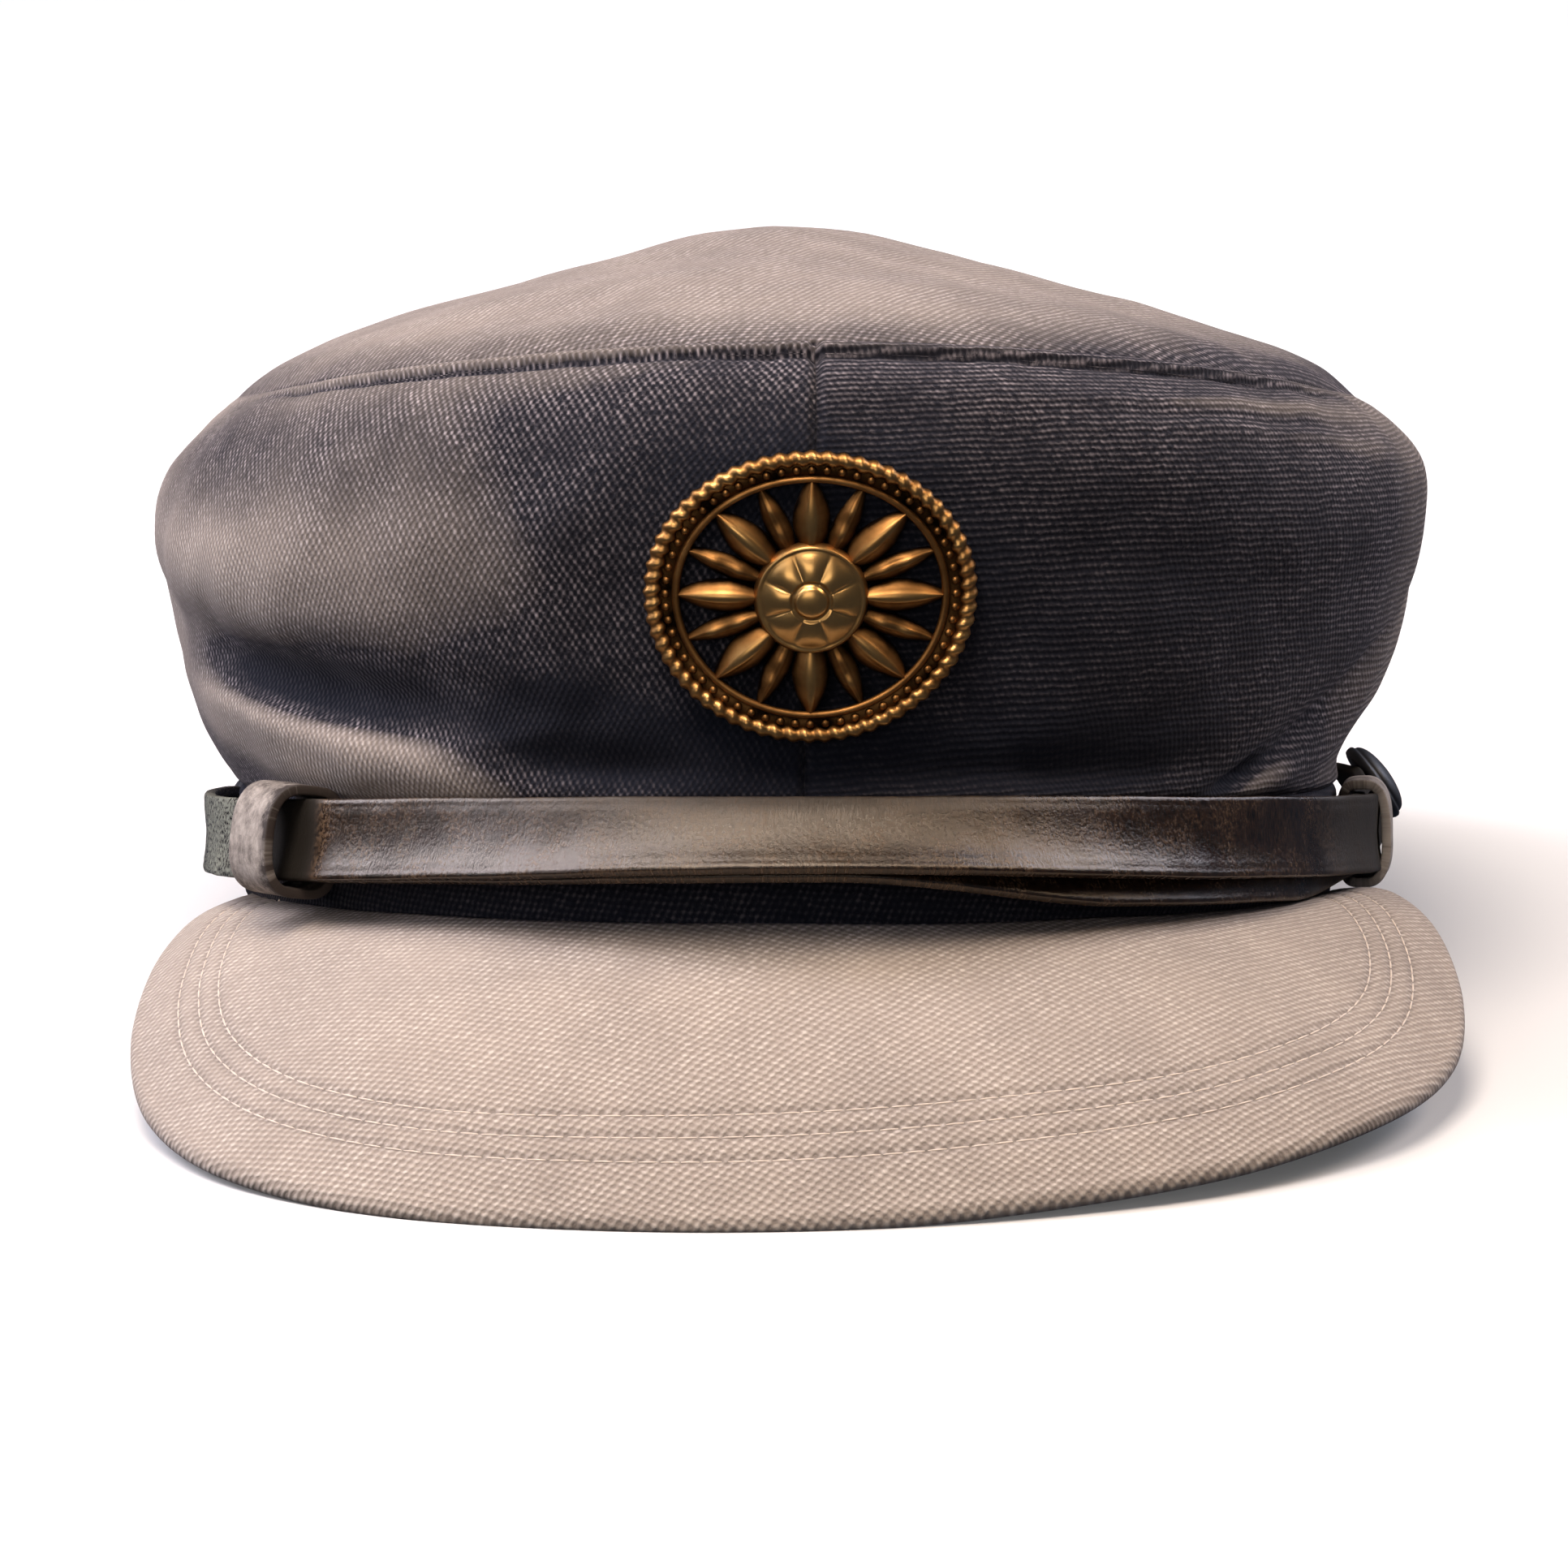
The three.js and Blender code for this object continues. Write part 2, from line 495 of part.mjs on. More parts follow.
// Badge in its own frame: X to the right, Y up and Z outwards, its back at 0
function badgeSolid() {
  const { halfWidth, halfHeight, plate, ring } = BADGE;
  const oval = new THREE.Shape().absellipse(0, 0, halfWidth, halfHeight, 0, 2 * Math.PI);
  oval.holes.push(new THREE.Path().absellipse(0, 0, halfWidth - ring, halfHeight - ring, 0, 2 * Math.PI));
  const rim = new THREE.ExtrudeGeometry(oval, { depth: plate, bevelEnabled: false, curveSegments: 18 });
  let solid = asSolid(closedBody([rim]));
  for (const { share, thick } of BADGE_ROLLS) {
    const roll = new THREE.TorusGeometry(halfWidth * share, thick, 5, 36);
    roll.scale(1, halfHeight / halfWidth, BADGE_ROLL_RISE);
    roll.translate(0, 0, plate);
    solid = solid.add(asSolid(roll));
  }
  const from = BOSS.radius - RAYS.lap;
  const to = halfWidth - ring + RAYS.lap;
  for (let k = 0; k < RAYS.count; k += 1) {
    const { half, rise } = k % 2 === 0 ? RAYS.long : RAYS.short;
    const ray = new THREE.OctahedronGeometry(1);
    ray.scale((to - from) / 2, half, rise);
    ray.translate((to + from) / 2, 0, plate / 2);
    ray.rotateZ(k / RAYS.count * 2 * Math.PI);
    ray.scale(1, halfHeight / halfWidth, 1);
    solid = solid.add(asSolid(ray));
  }
  const collar = BOSS.radius + BOSS.collar;
  const profile = [[0, 0], [collar, 0], [collar, plate + BOSS.collarRise]];
  profile.push([BOSS.radius + BOSS.lip, plate + BOSS.lipRise], [BOSS.radius, plate + BOSS.seat]);
  for (let k = 1; k <= 4; k += 1) {
    const turn = k / 4 * Math.PI / 2;
    profile.push([BOSS.radius * Math.cos(turn), plate + BOSS.seat + BOSS.rise * Math.sin(turn)]);
  }
  profile[profile.length - 1][0] = 0;
  const boss = new THREE.LatheGeometry(profile.map(([x, y]) => new THREE.Vector2(x, y)), 20);
  boss.rotateX(Math.PI / 2);
  solid = solid.add(asSolid(boss));
  const floor = new THREE.BoxGeometry(3 * halfWidth, 3 * halfHeight, 10);
  floor.translate(0, 0, -5);
  solid = solid.subtract(asSolid(floor));
  for (const side of [-1, 1]) {
    const lug = new THREE.BoxGeometry(LUG.width, LUG.width, LUG.deep + plate / 2);
    lug.translate(side * LUG.apart / 2, 0, plate / 4 - LUG.deep / 2);
    const eye = new THREE.CylinderGeometry(LUG.hole, LUG.hole, 4 * LUG.width, 10);
    eye.rotateZ(Math.PI / 2);
    eye.translate(side * LUG.apart / 2, 0, LUG.hole + LUG.eyeWall - LUG.deep);
    solid = solid.add(asSolid(lug).subtract(asSolid(eye)));
  }
  return asGeometry(solid);
}

// The badge is curved like the panel behind it; its lugs stay straight
function bendAt(side) {
  return side ** 2 / (2 * BADGE.bend);
}

function bentToPanel(geometry) {
  const position = geometry.attributes.position;
  for (let i = 0; i < position.count; i += 1) {
    const side = position.getZ(i) < 0 ? LUG.apart / 2 : position.getX(i);
    position.setZ(i, position.getZ(i) - bendAt(side));
  }
  return geometry;
}

function pinSolid() {
  const pin = new THREE.CylinderGeometry(PIN.radius, PIN.radius, PIN.length, 8);
  pin.rotateZ(Math.PI / 2);
  pin.translate(0, 0, LUG.hole + LUG.eyeWall - LUG.deep - bendAt(LUG.apart / 2));
  return closedBody([pin]);
}

// Assembly
const cap = new THREE.Group();

function addPiece(name, geometry, finish, parent = cap) {
  geometry.computeVertexNormals();
  const mesh = new THREE.Mesh(geometry, new THREE.MeshStandardMaterial(FINISH[finish]));
  mesh.name = name;
  parent.add(mesh);
  return mesh;
}

const badgeSeat = new THREE.Group();
const panelFront = skin(0, BADGE.level);
badgeSeat.position.set(BADGE.side, panelFront.y - BADGE.standOff, BADGE.up);
badgeSeat.rotation.x = Math.PI / 2 + degToRad(BADGE.lean);
cap.add(badgeSeat);

function lugHole(side) {
  const hole = new THREE.BoxGeometry(LUG.width + LUG.play, LUG.width + LUG.play, 4 * LUG.deep);
  hole.translate(side * LUG.apart / 2, 0, 0);
  badgeSeat.updateMatrix();
  hole.applyMatrix4(badgeSeat.matrix);
  return asSolid(hole);
}

addPiece('crown_tip', crownTip(), 'twill');
addPiece('side_panel_left', asGeometry(asSolid(sidePanel(-1)).subtract(lugHole(-1))), 'twill');
addPiece('side_panel_right', asGeometry(asSolid(sidePanel(1)).subtract(lugHole(1))), 'twill');
addPiece('head_band', headBand(), 'twill');
addPiece('peak', peakSolid(), 'twill');
addPiece('badge', bentToPanel(badgeSolid()), 'brass', badgeSeat);
addPiece('badge_pin', pinSolid(), 'brass', badgeSeat);

const straps = [
  {
    name: 'strap_outer', layer: 'outer', button: LEFT_BUTTON,
    from: LEFT_BUTTON - END_BEYOND_BUTTON, to: RIGHT_SLIDER + END_BEYOND_RIGHT_SLIDER,
  },
  {
    name: 'strap_inner', layer: 'inner', button: RIGHT_BUTTON,
    from: LEFT_SLIDER - END_BEYOND_LEFT_SLIDER, to: RIGHT_BUTTON + END_BEYOND_BUTTON,
  },
];
for (const { name, layer, from, to, button } of straps) {
  const hole = new THREE.CylinderGeometry(BUTTON.holeRadius, BUTTON.holeRadius, 12, 12);
  hole.rotateX(Math.PI / 2);
  const seat = setOnStrap(new THREE.Object3D(), button, layer);
  seat.updateMatrix();
  hole.applyMatrix4(seat.matrix);
  const strap = asSolid(strapSolid(layer, from, to, 44)).subtract(asSolid(hole));
  addPiece(name, asGeometry(strap), 'leather');
}

for (const [name, azimuth, loop] of [
  ['slider_left', LEFT_SLIDER, LEFT_LOOP], ['slider_right', RIGHT_SLIDER, RIGHT_LOOP],
]) {
  const shift = (STRAP.thick + LAYER_GAP + loop.spareOut - SLIDER.spareIn) / 2;
  setOnStrap(addPiece(name, sliderSolid(loop), 'loop'), azimuth, 'inner', shift);
}

for (const [name, azimuth, layer, shank] of [
  ['button_left', LEFT_BUTTON, 'outer', LEFT_SHANK], ['button_right', RIGHT_BUTTON, 'inner', RIGHT_SHANK],
]) {
  const seat = STRAP.thick / 2 + SEAM_GAP;
  setOnStrap(addPiece(name, buttonSolid(shank), 'button'), azimuth, layer, seat);
}

// Tipped back to its rest, with the origin under the middle of its box
cap.quaternion.setFromUnitVectors(restNormal, new THREE.Vector3(0, 0, 1));
const part = new THREE.Group();
part.add(cap);
part.updateMatrixWorld(true);
const box = new THREE.Box3().setFromObject(part, true);
cap.position.set(-(box.min.x + box.max.x) / 2, -(box.min.y + box.max.y) / 2, -box.min.z);

export default part;
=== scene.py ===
"""Soft-crowned peaked cap of blue-grey twill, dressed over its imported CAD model.

The shapes are worked out in millimetres in the cap's own frame, whose floor is the lower edge of
the band, and are then placed in the row frame in metres, as the CAD nodes are.
"""

import math

import bmesh
import bpy
import numpy as np
from mathutils import Matrix, Quaternion, Vector


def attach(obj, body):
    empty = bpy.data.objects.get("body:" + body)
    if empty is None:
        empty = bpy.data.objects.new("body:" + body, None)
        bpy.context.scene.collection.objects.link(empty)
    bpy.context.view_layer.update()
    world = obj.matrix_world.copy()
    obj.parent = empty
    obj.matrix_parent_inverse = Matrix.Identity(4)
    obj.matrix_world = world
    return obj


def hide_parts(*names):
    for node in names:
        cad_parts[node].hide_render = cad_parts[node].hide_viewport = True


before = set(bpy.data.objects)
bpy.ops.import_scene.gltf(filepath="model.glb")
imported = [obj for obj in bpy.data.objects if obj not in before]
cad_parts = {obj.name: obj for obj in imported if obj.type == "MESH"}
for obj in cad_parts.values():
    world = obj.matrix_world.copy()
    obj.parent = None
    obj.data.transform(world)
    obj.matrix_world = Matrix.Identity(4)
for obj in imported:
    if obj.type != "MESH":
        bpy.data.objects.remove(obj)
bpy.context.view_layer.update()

bl_info = {
    "name": "Peaked Twill Cap",
    "version": (1, 0, 0),
    "blender": (4, 5, 0),
    "location": "View3D > Sidebar > Cap",
    "description": "Cloth, leather and brass of a soft-crowned peaked cap",
    "category": "Add Mesh",
}

MM = 0.001

# Head oval outside the band's cloth, and the thickness of the cloth
HALF_WIDTH = 81.0
HALF_LENGTH = 101.0
MEAN_RADIUS = (HALF_WIDTH + HALF_LENGTH) / 2
CLOTH = 2.0

# Crown sides, from the band's seam up to the top seam: out and up at the front, side and back
CROWN_ROWS = np.array([
    (0, 20.5, 1, 17, 0.5, 17),
    (2.6, 30, 5, 26, 4.2, 23.5),
    (5.6, 40, 8.9, 35.5, 8.2, 31),
    (8.6, 50, 11.4, 45, 11.8, 38.5),
    (10.8, 60, 13, 54.5, 14, 46),
    (11, 69, 11.6, 63.5, 13.5, 53.5),
    (7.5, 77, 6.6, 70, 9, 59.5),
    (0, 81.5, 2, 74, 1.5, 62.5),
])
LEAN_RIGHT = 1.3

# Crown tip, from the top seam to the crest: shares of the way in and of the rise
TIP_ROWS = np.array([
    (0, 0), (0.06, 0.165), (0.16, 0.31), (0.31, 0.475), (0.49, 0.645), (0.68, 0.815),
    (0.86, 0.965), (1, 1),
])
CREST = np.array((-2.5, -12, 99))

# Folds of the crown's sides: azimuth in degrees, height, width, tallness, depth and slant
FOLDS = np.array([
    (-56, 36, 32, 5.4, 5, -8), (-58, 50, 40, 9, -1.2, 4), (-54, 28, 28, 4.5, -2.4, -8),
    (1, 46, 30, 26, 2.2, 0), (-19, 25, 12, 3, 1.8, 0), (24, 24, 24, 3, 1.8, 0),
    (58, 27, 24, 3.5, 3, 26), (52, 21.5, 12, 3, -1.2, 20), (62, 62, 30, 12, -1.2, 0),
    (90, 67, 30, 6, -1, 0), (88, 23, 34, 6, 2.2, 0), (-86, 26, 30, 7, -1.1, 0),
    (150, 33, 26, 7, 2.4, -6), (-146, 31, 24, 6, 2.6, 8), (108, 38, 20, 7, 2, 10),
    (-112, 40, 20, 8, 2.2, -10),
])
# Finer creases of the same cloth, in the same order of values
CREASES = np.array([
    (-70, 34, 16, 1.6, 0.6, -6), (-46, 34, 20, 2, 0.5, -4), (-32, 36, 16, 2.2, 0.5, -14),
    (-58, 42, 26, 2.4, -0.4, 6), (-30, 28, 14, 1.6, -0.4, 10), (-20, 32, 10, 3, 0.5, 40),
    (18, 30, 12, 2.4, 0.4, -38), (38, 33, 16, 2.4, 0.4, 24), (64, 33, 16, 1.5, 0.9, 30),
    (50, 24, 12, 1.3, 0.8, 34), (66, 24, 12, 1.6, -0.5, 18), (78, 40, 14, 3, 0.5, 62),
    (84, 54, 14, 3, 0.4, 70), (-84, 46, 14, 3, 0.5, -66), (-90, 60, 16, 3.4, 0.4, -58),
    (30, 52, 22, 4.5, 0.35, -8), (-34, 62, 26, 5, 0.35, 10), (12, 70, 20, 3, 0.3, -6),
    (120, 26, 16, 2.2, 0.8, 16), (-124, 25, 16, 2.2, 0.8, -18), (165, 44, 18, 3.4, 0.6, 12),
    (-168, 42, 18, 3.4, 0.6, -12), (136, 50, 16, 4, 0.5, 40), (-134, 50, 16, 4, 0.5, -44),
    (38, 73.4, 30, 1.1, -0.55, -2), (44, 69.6, 26, 1.3, -0.5, -4), (40, 71.5, 30, 0.8, 0.35, -3),
    (46, 20, 14, 1.3, 2.2, 17), (-50, 31, 20, 1.8, 0.9, -8), (-66, 44, 10, 3, 0.4, 50),
    (-54, 22.5, 24, 3.6, -1, -6), (54, 20, 10, 2.6, -0.7, 18),
    (-40, 54, 12, 3.4, 0.35, -60), (-74, 60, 12, 3, 0.4, 62), (-22, 20.5, 10, 1.4, 0.5, 8),
])

# Peak's edge from the middle of the front round to the corners: side, reach, and the height on the
# viewer's left and right
PEAK_ROWS = np.array([
    (0, -134, -32.6, -32.6), (28, -131.5, -32.9, -30.4), (56, -123, -31.9, -26.8),
    (77, -108, -28.9, -22), (88.5, -88, -24.5, -17.8), (92.4, -69, -17.3, -11.1),
    (91.2, -50, -9.2, -3.2), (87, -34, -3.5, 0.8), (81.5, -25, -0.8, 0.8),
])
PEAK_THICK = 3.0
PEAK_NOSE = 0.05
PEAK_ROOT_UP = 2.6
PEAK_ROOT_CORNER_UP = 0.4
PEAK_SPREAD = 75.0
PEAK_CROWN = 3.2

# Resting plane: its height at the back of the band and under the front of the peak, and its roll
REST_UP_REAR = 1.3
REST_UP_FRONT = -32.2
REST_ROLL = 1.1
CAP_PLACE = np.array((-1.35893, 8.28188, 12.96444))

# Chin strap
STRAP_THICK = 1.7
STRAP_WIDTH = 11.4
STRAP_END_WIDTH = 8.4
STRAP_SIDE_UP = 9.6
STRAP_FRONT_RISE = 5.75
STRAP_RIGHT_END_UP = 14.5
STRAP_LEAN_AHEAD = 8.0
STRAP_LEAN_MIDDLE = 28.0
STRAP_LEAN_REACH = 34.0
STRAP_RISE_FADE = 1.3
STRAP_CLEAR = 0.9
LAYER_GAP = 0.5
INNER_DROP = 3.2
SLIDER_PROUD = 2.3
LEFT_SIDE_PROUD = 3.2
LEFT_BUTTON = -104.0
RIGHT_BUTTON = 93.0
LEFT_SLIDER = -53.5
RIGHT_SLIDER = 79.5
RIGHT_END_TILT = 35.0
SLIDER_LENGTH = 11.0
SLIDER_WALL = 1.4
SLIDER_SPARE_IN = 0.7
SLIDER_SPARE_UP = 1.6
SLIDER_SPARE_OUT = {LEFT_SLIDER: 4.6, RIGHT_SLIDER: 0.6}
SHANK = {LEFT_BUTTON: 1.9, RIGHT_BUTTON: 6.5}
SEAM_GAP = 0.4

# How far the strap's ends run past the buttons and loops, in degrees
PAST_BUTTON = 3.5
PAST_LEFT_SLIDER = 5
PAST_RIGHT_SLIDER = 3

# Buttons: radii and heights round the rim, and the dome's radius, foot and rise
BUTTON_RIM = ((5.6, 0), (6.1, 0.2), (6.3, 0.7), (6.3, 1.2), (6.1, 1.45), (5.95, 1.45), (5.75, 1.7))
BUTTON_DOME = (5.75, 1.7, 2.0)

# Where the strap's changes run, in degrees from the front
RIGHT_END_TURNS = (82, 91)
LEFT_END_NARROWS = (94, 101)
SLIDER_PROUD_FADES = (6, 22)
LEFT_SIDE_RISES = (60, 74)
LEFT_SIDE_ENDS = (88, 100)
INNER_DROPS = (2, 30)
INNER_DROP_ENDS = (56, 72)
OUTER_STEPS_OUT = (-22, -8)

# Badge: its place on the front, its lean and bend, and its parts
BADGE_UP = 48.5
BADGE_SIDE = 0.6
BADGE_LEAN = 13.0
BADGE_LEVEL = 0.47
BADGE_STAND_OFF = 0.15
BADGE_BEND = 85.0
ROPE_THICK = 1.05
ROPE_STRANDS = 64
BEADS = 60
BEAD_IN = 2.75
BEAD_RADIUS = 0.62
RAY_FROM = 6.4
RAY_TO_RING = 4.0

# Badge's rays: half of their width, and their height
LONG_RAY = (2.35, 1.9)
SHORT_RAY = (1.45, 1.45)

# Badge's boss and the two posts behind it
BOSS_RADIUS = 7.6
POST_SIDE = 9.0
POST_RADIUS = 0.9
POST_LENGTH = 8.6

# Lengths of cloth from seam to seam: down a side panel, over the tip and down the band
SIDE_RUN = 72.0
TIP_RUN = 60.0
BAND_RUN = 19.0

# Swellings of the cloth: how high, how far apart, and a seed
SIDE_SWELLS = ((0.3, 24, 5), (0.09, 8, 6))
TIP_SWELLS = ((0.45, 38, 11), (0.1, 10, 12))

# How far the rolled strips beside the seams stand out, and how deep the lines and the rows of
# stitches lie
TOP_ROLL, TOP_LINE, TOP_ROW, TOP_ROW_AT = 0.95, 1.2, 0.7, 4.4
TIP_ROLL = 0.15
LAP_ROLL, LAP_LINE = 0.16, 0.75
PUCKER, PUCKER_PITCH = 0.1, 0.9
BAND_TOP_LINE, BAND_LOW_LINE, BAND_ROW, BAND_ROW_AT = 0.7, 0.5, 0.22, 3.2
PEAK_PIPING, PEAK_ROW = 0.12, 0.26

# Rows of stitches on the peak, in from its edge, and the size of one stitch
STITCH_ROWS = (9.6, 13.1, 16.4)
STITCH_APART = 2.9
STITCH_HALF_LENGTH = 1.4
STITCH_RADIUS = 0.15

# Steps round the peak's section, and the shares of it where the rounded edge and the root are
PEAK_STEPS = 120
NOSE_FROM, NOSE_TO, ROOT_FROM = (k / PEAK_STEPS for k in (30, 44, 119))

# Faded and, below nought, darkened places of the side panels. Some is real fading, and some is
# painted light and shade: the lit upper left, the bulge below the left sag, both edges and the
# triangle under the right crease are painted light; the wedge in the left sag, the right crease's
# line, the front round the badge and low down, and the pockets above the strap are painted shade.
# The values are those of FOLDS, with an amount for the depth
SIDE_FADES_PAINTED_LIGHT_AND_SHADE = [
    (-62, 50, 34, 9, 0.9, 0), (-60, 66, 34, 9, 0.04, 0), (-92, 52, 22, 26, 0.9, 0),
    (-34, 58, 26, 16, 0.24, 0), (-66, 28, 18, 4.4, 1.2, -8), (-47, 23.5, 20, 5.2, 1.6, -3),
    (-38, 20, 12, 2.6, 0.6, 0), (-60, 35.5, 14, 3, -1.7, -6), (-45, 34, 15, 3.8, -2.3, -5),
    (-24, 31, 12, 7, -1.5, 0), (-10, 26, 22, 8, -0.9, 0), (28, 25, 38, 7, -0.9, 0),
    (98, 50, 60, 30, 0.58, 0), (66, 72, 30, 5, 0.1, 0), (0, 46, 28, 24, -0.7, 0),
    (34, 46, 46, 24, -0.8, 0), (-92, 28, 18, 10, 0.5, 0), (52, 21, 9, 3.4, 0.75, 18),
    (43, 24.5, 12, 3, 0.5, 16), (45, 19.9, 15, 1.2, -2.4, 17), (42, 73, 30, 1.1, 0.4, -2),
    (44, 69, 26, 1.1, 0.3, -4), (-5, 66, 26, 9, -0.6, 0), (86, 27, 30, 8, 0.3, 0),
    (180, 40, 70, 40, 0.25, 0), (88, 52, 12, 22, 0.35, 0),
]
MOST_FADED = 0.74
# The band darkened all round, to the dark of the shadow under the strap: painted shadow
BAND_PAINTED_SHADOW = -0.9
PEAK_SHADE = 0.92
UNDERSIDE_SHADE = -0.3


# Shape functions, on arrays of angles and shares

def lerp(a, b, t):
    return a + (b - a) * t


def ease(x, low, high):
    t = np.clip((x - low) / (high - low), 0, 1)
    return t * t * (3 - 2 * t)


def through(points, share, free_ends=False):
    """Points of a smooth curve through a table's rows, at shares from 0 to 1."""
    points = np.asarray(points, float)
    first, last = points[:1], points[-1:]
    if free_ends:
        first, last = 2 * first - points[1:2], 2 * last - points[-2:-1]
    padded = np.concatenate([first, points, last])
    at = np.clip(share, 0, 1) * (len(points) - 1)
    k = np.minimum(at.astype(int), len(points) - 2)
    w = (at - k)[..., None]
    p0, p1, p2, p3 = (padded[k + i] for i in range(4))
    v0, v1 = (p2 - p0) / 2, (p3 - p1) / 2
    return (2 * p1 - 2 * p2 + v0 + v1) * w**3 + (3 * p2 - 3 * p1 - 2 * v0 - v1) * w**2 + v0 * w + p1


def fold_out(azimuth, up, folds):
    out = np.zeros_like(azimuth)
    for degrees, fold_up, wide, tall, deep, slant in folds:
        turn = azimuth - math.radians(degrees)
        along = np.arctan2(np.sin(turn), np.cos(turn)) * MEAN_RADIUS
        c, s = math.cos(math.radians(slant)), math.sin(math.radians(slant))
        over = along * c + (up - fold_up) * s
        above = (up - fold_up) * c - along * s
        out -= deep * np.exp(-((over / wide) ** 2) - (above / tall) ** 2)
    return out


def oval(azimuth, out, up):
    return np.stack([(HALF_WIDTH + out) * np.sin(azimuth), -(HALF_LENGTH + out) * np.cos(azimuth),
                     up + 0 * azimuth], -1)


def crown_section(azimuth, share):
    ahead = np.cos(azimuth)
    front = np.where(ahead > 0, ahead**2, 0)
    rear = np.where(ahead < 0, ahead**2, 0)
    weight = np.stack([front, 1 - front - rear, rear], -1)
    rows = through(CROWN_ROWS, share).reshape(*np.shape(share), 3, 2)
    section = (rows * weight[..., None]).sum(-2)
    out, up = section[..., 0], section[..., 1]
    settle = ease(share, 0, 0.08) * (1 - ease(share, 0.92, 1))
    return out + fold_out(azimuth, up, FOLDS) * settle, up


def side_skin(azimuth, share):
    out, up = crown_section(azimuth, share)
    points = oval(azimuth, out, up)
    points[..., 0] += LEAN_RIGHT * ease(up, 48, 72)
    return points


def band_skin(azimuth, share):
    out, up = crown_section(azimuth, np.zeros_like(share))
    return oval(azimuth, out * share, up * share)


def tip_skin(azimuth, share):
    edge = side_skin(azimuth, np.ones_like(share))
    way = through(TIP_ROWS, share)
    way = np.stack([way[..., 0], way[..., 0], way[..., 1]], -1)
    return edge + (CREST - edge) * way


def normal_of(surface, a, b, step=0.004):
    """Outward unit normals of a surface given by two values, the second from 0 to 1."""
    low, high = np.clip(b - step, 0, 1 - step), np.clip(b + step, step, 1)
    across = surface(a + step, b) - surface(a - step, b)
    up = surface(a, high) - surface(a, low)
    normal = np.cross(across, up)
    length = np.linalg.norm(normal, axis=-1, keepdims=True)
    return np.where(length > 1e-7, normal / np.maximum(length, 1e-7), np.array((0, 0, 1.0)))


def ripple(s, t, size, seed):
    """Soft uneven swelling of cloth over an area, about 1 high; s, t and size in millimetres."""
    rng = np.random.default_rng(seed)
    total = np.zeros_like(s)
    for _ in range(14):
        angle, phase = rng.uniform(0, 2 * math.pi, 2)
        wave = size * rng.uniform(0.7, 1.8)
        total += np.sin(2 * math.pi * (s * math.cos(angle) + t * math.sin(angle)) / wave + phase)
    return total / 5


def strip(d, low, high):
    """A raised strip between two distances from a seam, with soft edges."""
    return ease(d, low - 0.35, low + 0.35) - ease(d, high - 0.5, high + 0.5)


def dip(d, reach):
    return np.exp(-((d / reach) ** 2))


def crowded(v, most=0.8):
    """Shares from 0 to 1, closer together towards both ends."""
    return v - most * np.sin(2 * math.pi * v) / (2 * math.pi)


_arc_at = np.linspace(-math.pi, math.pi, 721)
_arc_speed = np.hypot((HALF_WIDTH + 9) * np.cos(_arc_at), (HALF_LENGTH + 9) * np.sin(_arc_at))
_arc_sum = np.concatenate([[0], np.cumsum((_arc_speed[1:] + _arc_speed[:-1]) / 2 * np.diff(_arc_at))])
_arc_sum -= _arc_sum[360]


def arc(azimuth):
    """Length along the crown's side from the middle of the front."""
    return np.interp(azimuth, _arc_at, _arc_sum)


def swelling(s, t, swells):
    return sum(high * ripple(s, t, size, seed) for high, size, seed in swells)


def panel_surface(azimuth, share):
    """Outside of a side panel with its creases, seams and pressed edges."""
    points = side_skin(azimuth, share)
    up, along = points[..., 2], arc(azimuth)
    top, low = (1 - share) * SIDE_RUN, share * SIDE_RUN
    inner = ease(top, 0, 5) * ease(low, 0, 5)
    out = inner * swelling(along, up, SIDE_SWELLS)
    out += fold_out(azimuth, up, CREASES) * inner
    line = TOP_LINE * dip(top, 0.8) + TOP_ROW * dip(top - TOP_ROW_AT, 0.8)
    out += seam_weight(azimuth) * (TOP_ROLL * strip(top, 1.0, 3.5) - line)
    out += PUCKER * np.sin(along / PUCKER_PITCH + 2 * ripple(along, up, 20, 7)) * dip(top - 3.8, 1.6)
    out -= BAND_TOP_LINE * dip(low, 1.1)
    for turn in (np.abs(azimuth), math.pi - np.abs(azimuth)):
        lap = turn * HALF_WIDTH
        out += LAP_ROLL * strip(lap, 0.8, 5.2) - LAP_LINE * dip(lap, 0.6)
    normal = normal_of(side_skin, azimuth, share)
    normal = turned(normal, level_out(azimuth), ease(low, 4, 0))
    return points + turned(normal, seam_out(azimuth), ease(top, 4, 0)) * out[..., None]


def level_out(azimuth):
    """Outwards on the level, where the side panels meet the band."""
    return normal_of(band_skin, azimuth, np.full_like(azimuth, 0.5))


def seam_out(azimuth):
    """Half way between the ways that the side panels and the tip face where they meet."""
    side = normal_of(side_skin, azimuth, np.ones_like(azimuth))
    return side + normal_of(tip_skin, azimuth, np.zeros_like(azimuth))


def turned(normal, other, amount):
    """Unit normals turned towards another direction by a share."""
    total = normal * (1 - amount)[..., None] + other * amount[..., None]
    return total / np.linalg.norm(total, axis=-1, keepdims=True)


def seam_weight(azimuth):
    """Less of the top seam's relief at the sides, where the cloth is stretched smooth."""
    return 0.02 + 0.98 * ease(np.abs(np.cos(azimuth)), 0.34, 0.8)


def tip_surface(azimuth, share):
    points = tip_skin(azimuth, share)
    edge = share * TIP_RUN
    out = swelling(points[..., 0], points[..., 1], TIP_SWELLS) * ease(edge, 1, 10)
    out += seam_weight(azimuth) * (TIP_ROLL * strip(edge, 1.3, 4.2) - TOP_LINE * dip(edge, 0.9))
    normal = turned(normal_of(tip_skin, azimuth, share), seam_out(azimuth), ease(edge, 4, 0))
    return points + normal * out[..., None]


def above_rest(points):
    """Presses points up to the resting plane where they would lie below it."""
    points[..., 2] = np.maximum(points[..., 2], rest_height(points[..., 0], points[..., 1]))
    return points


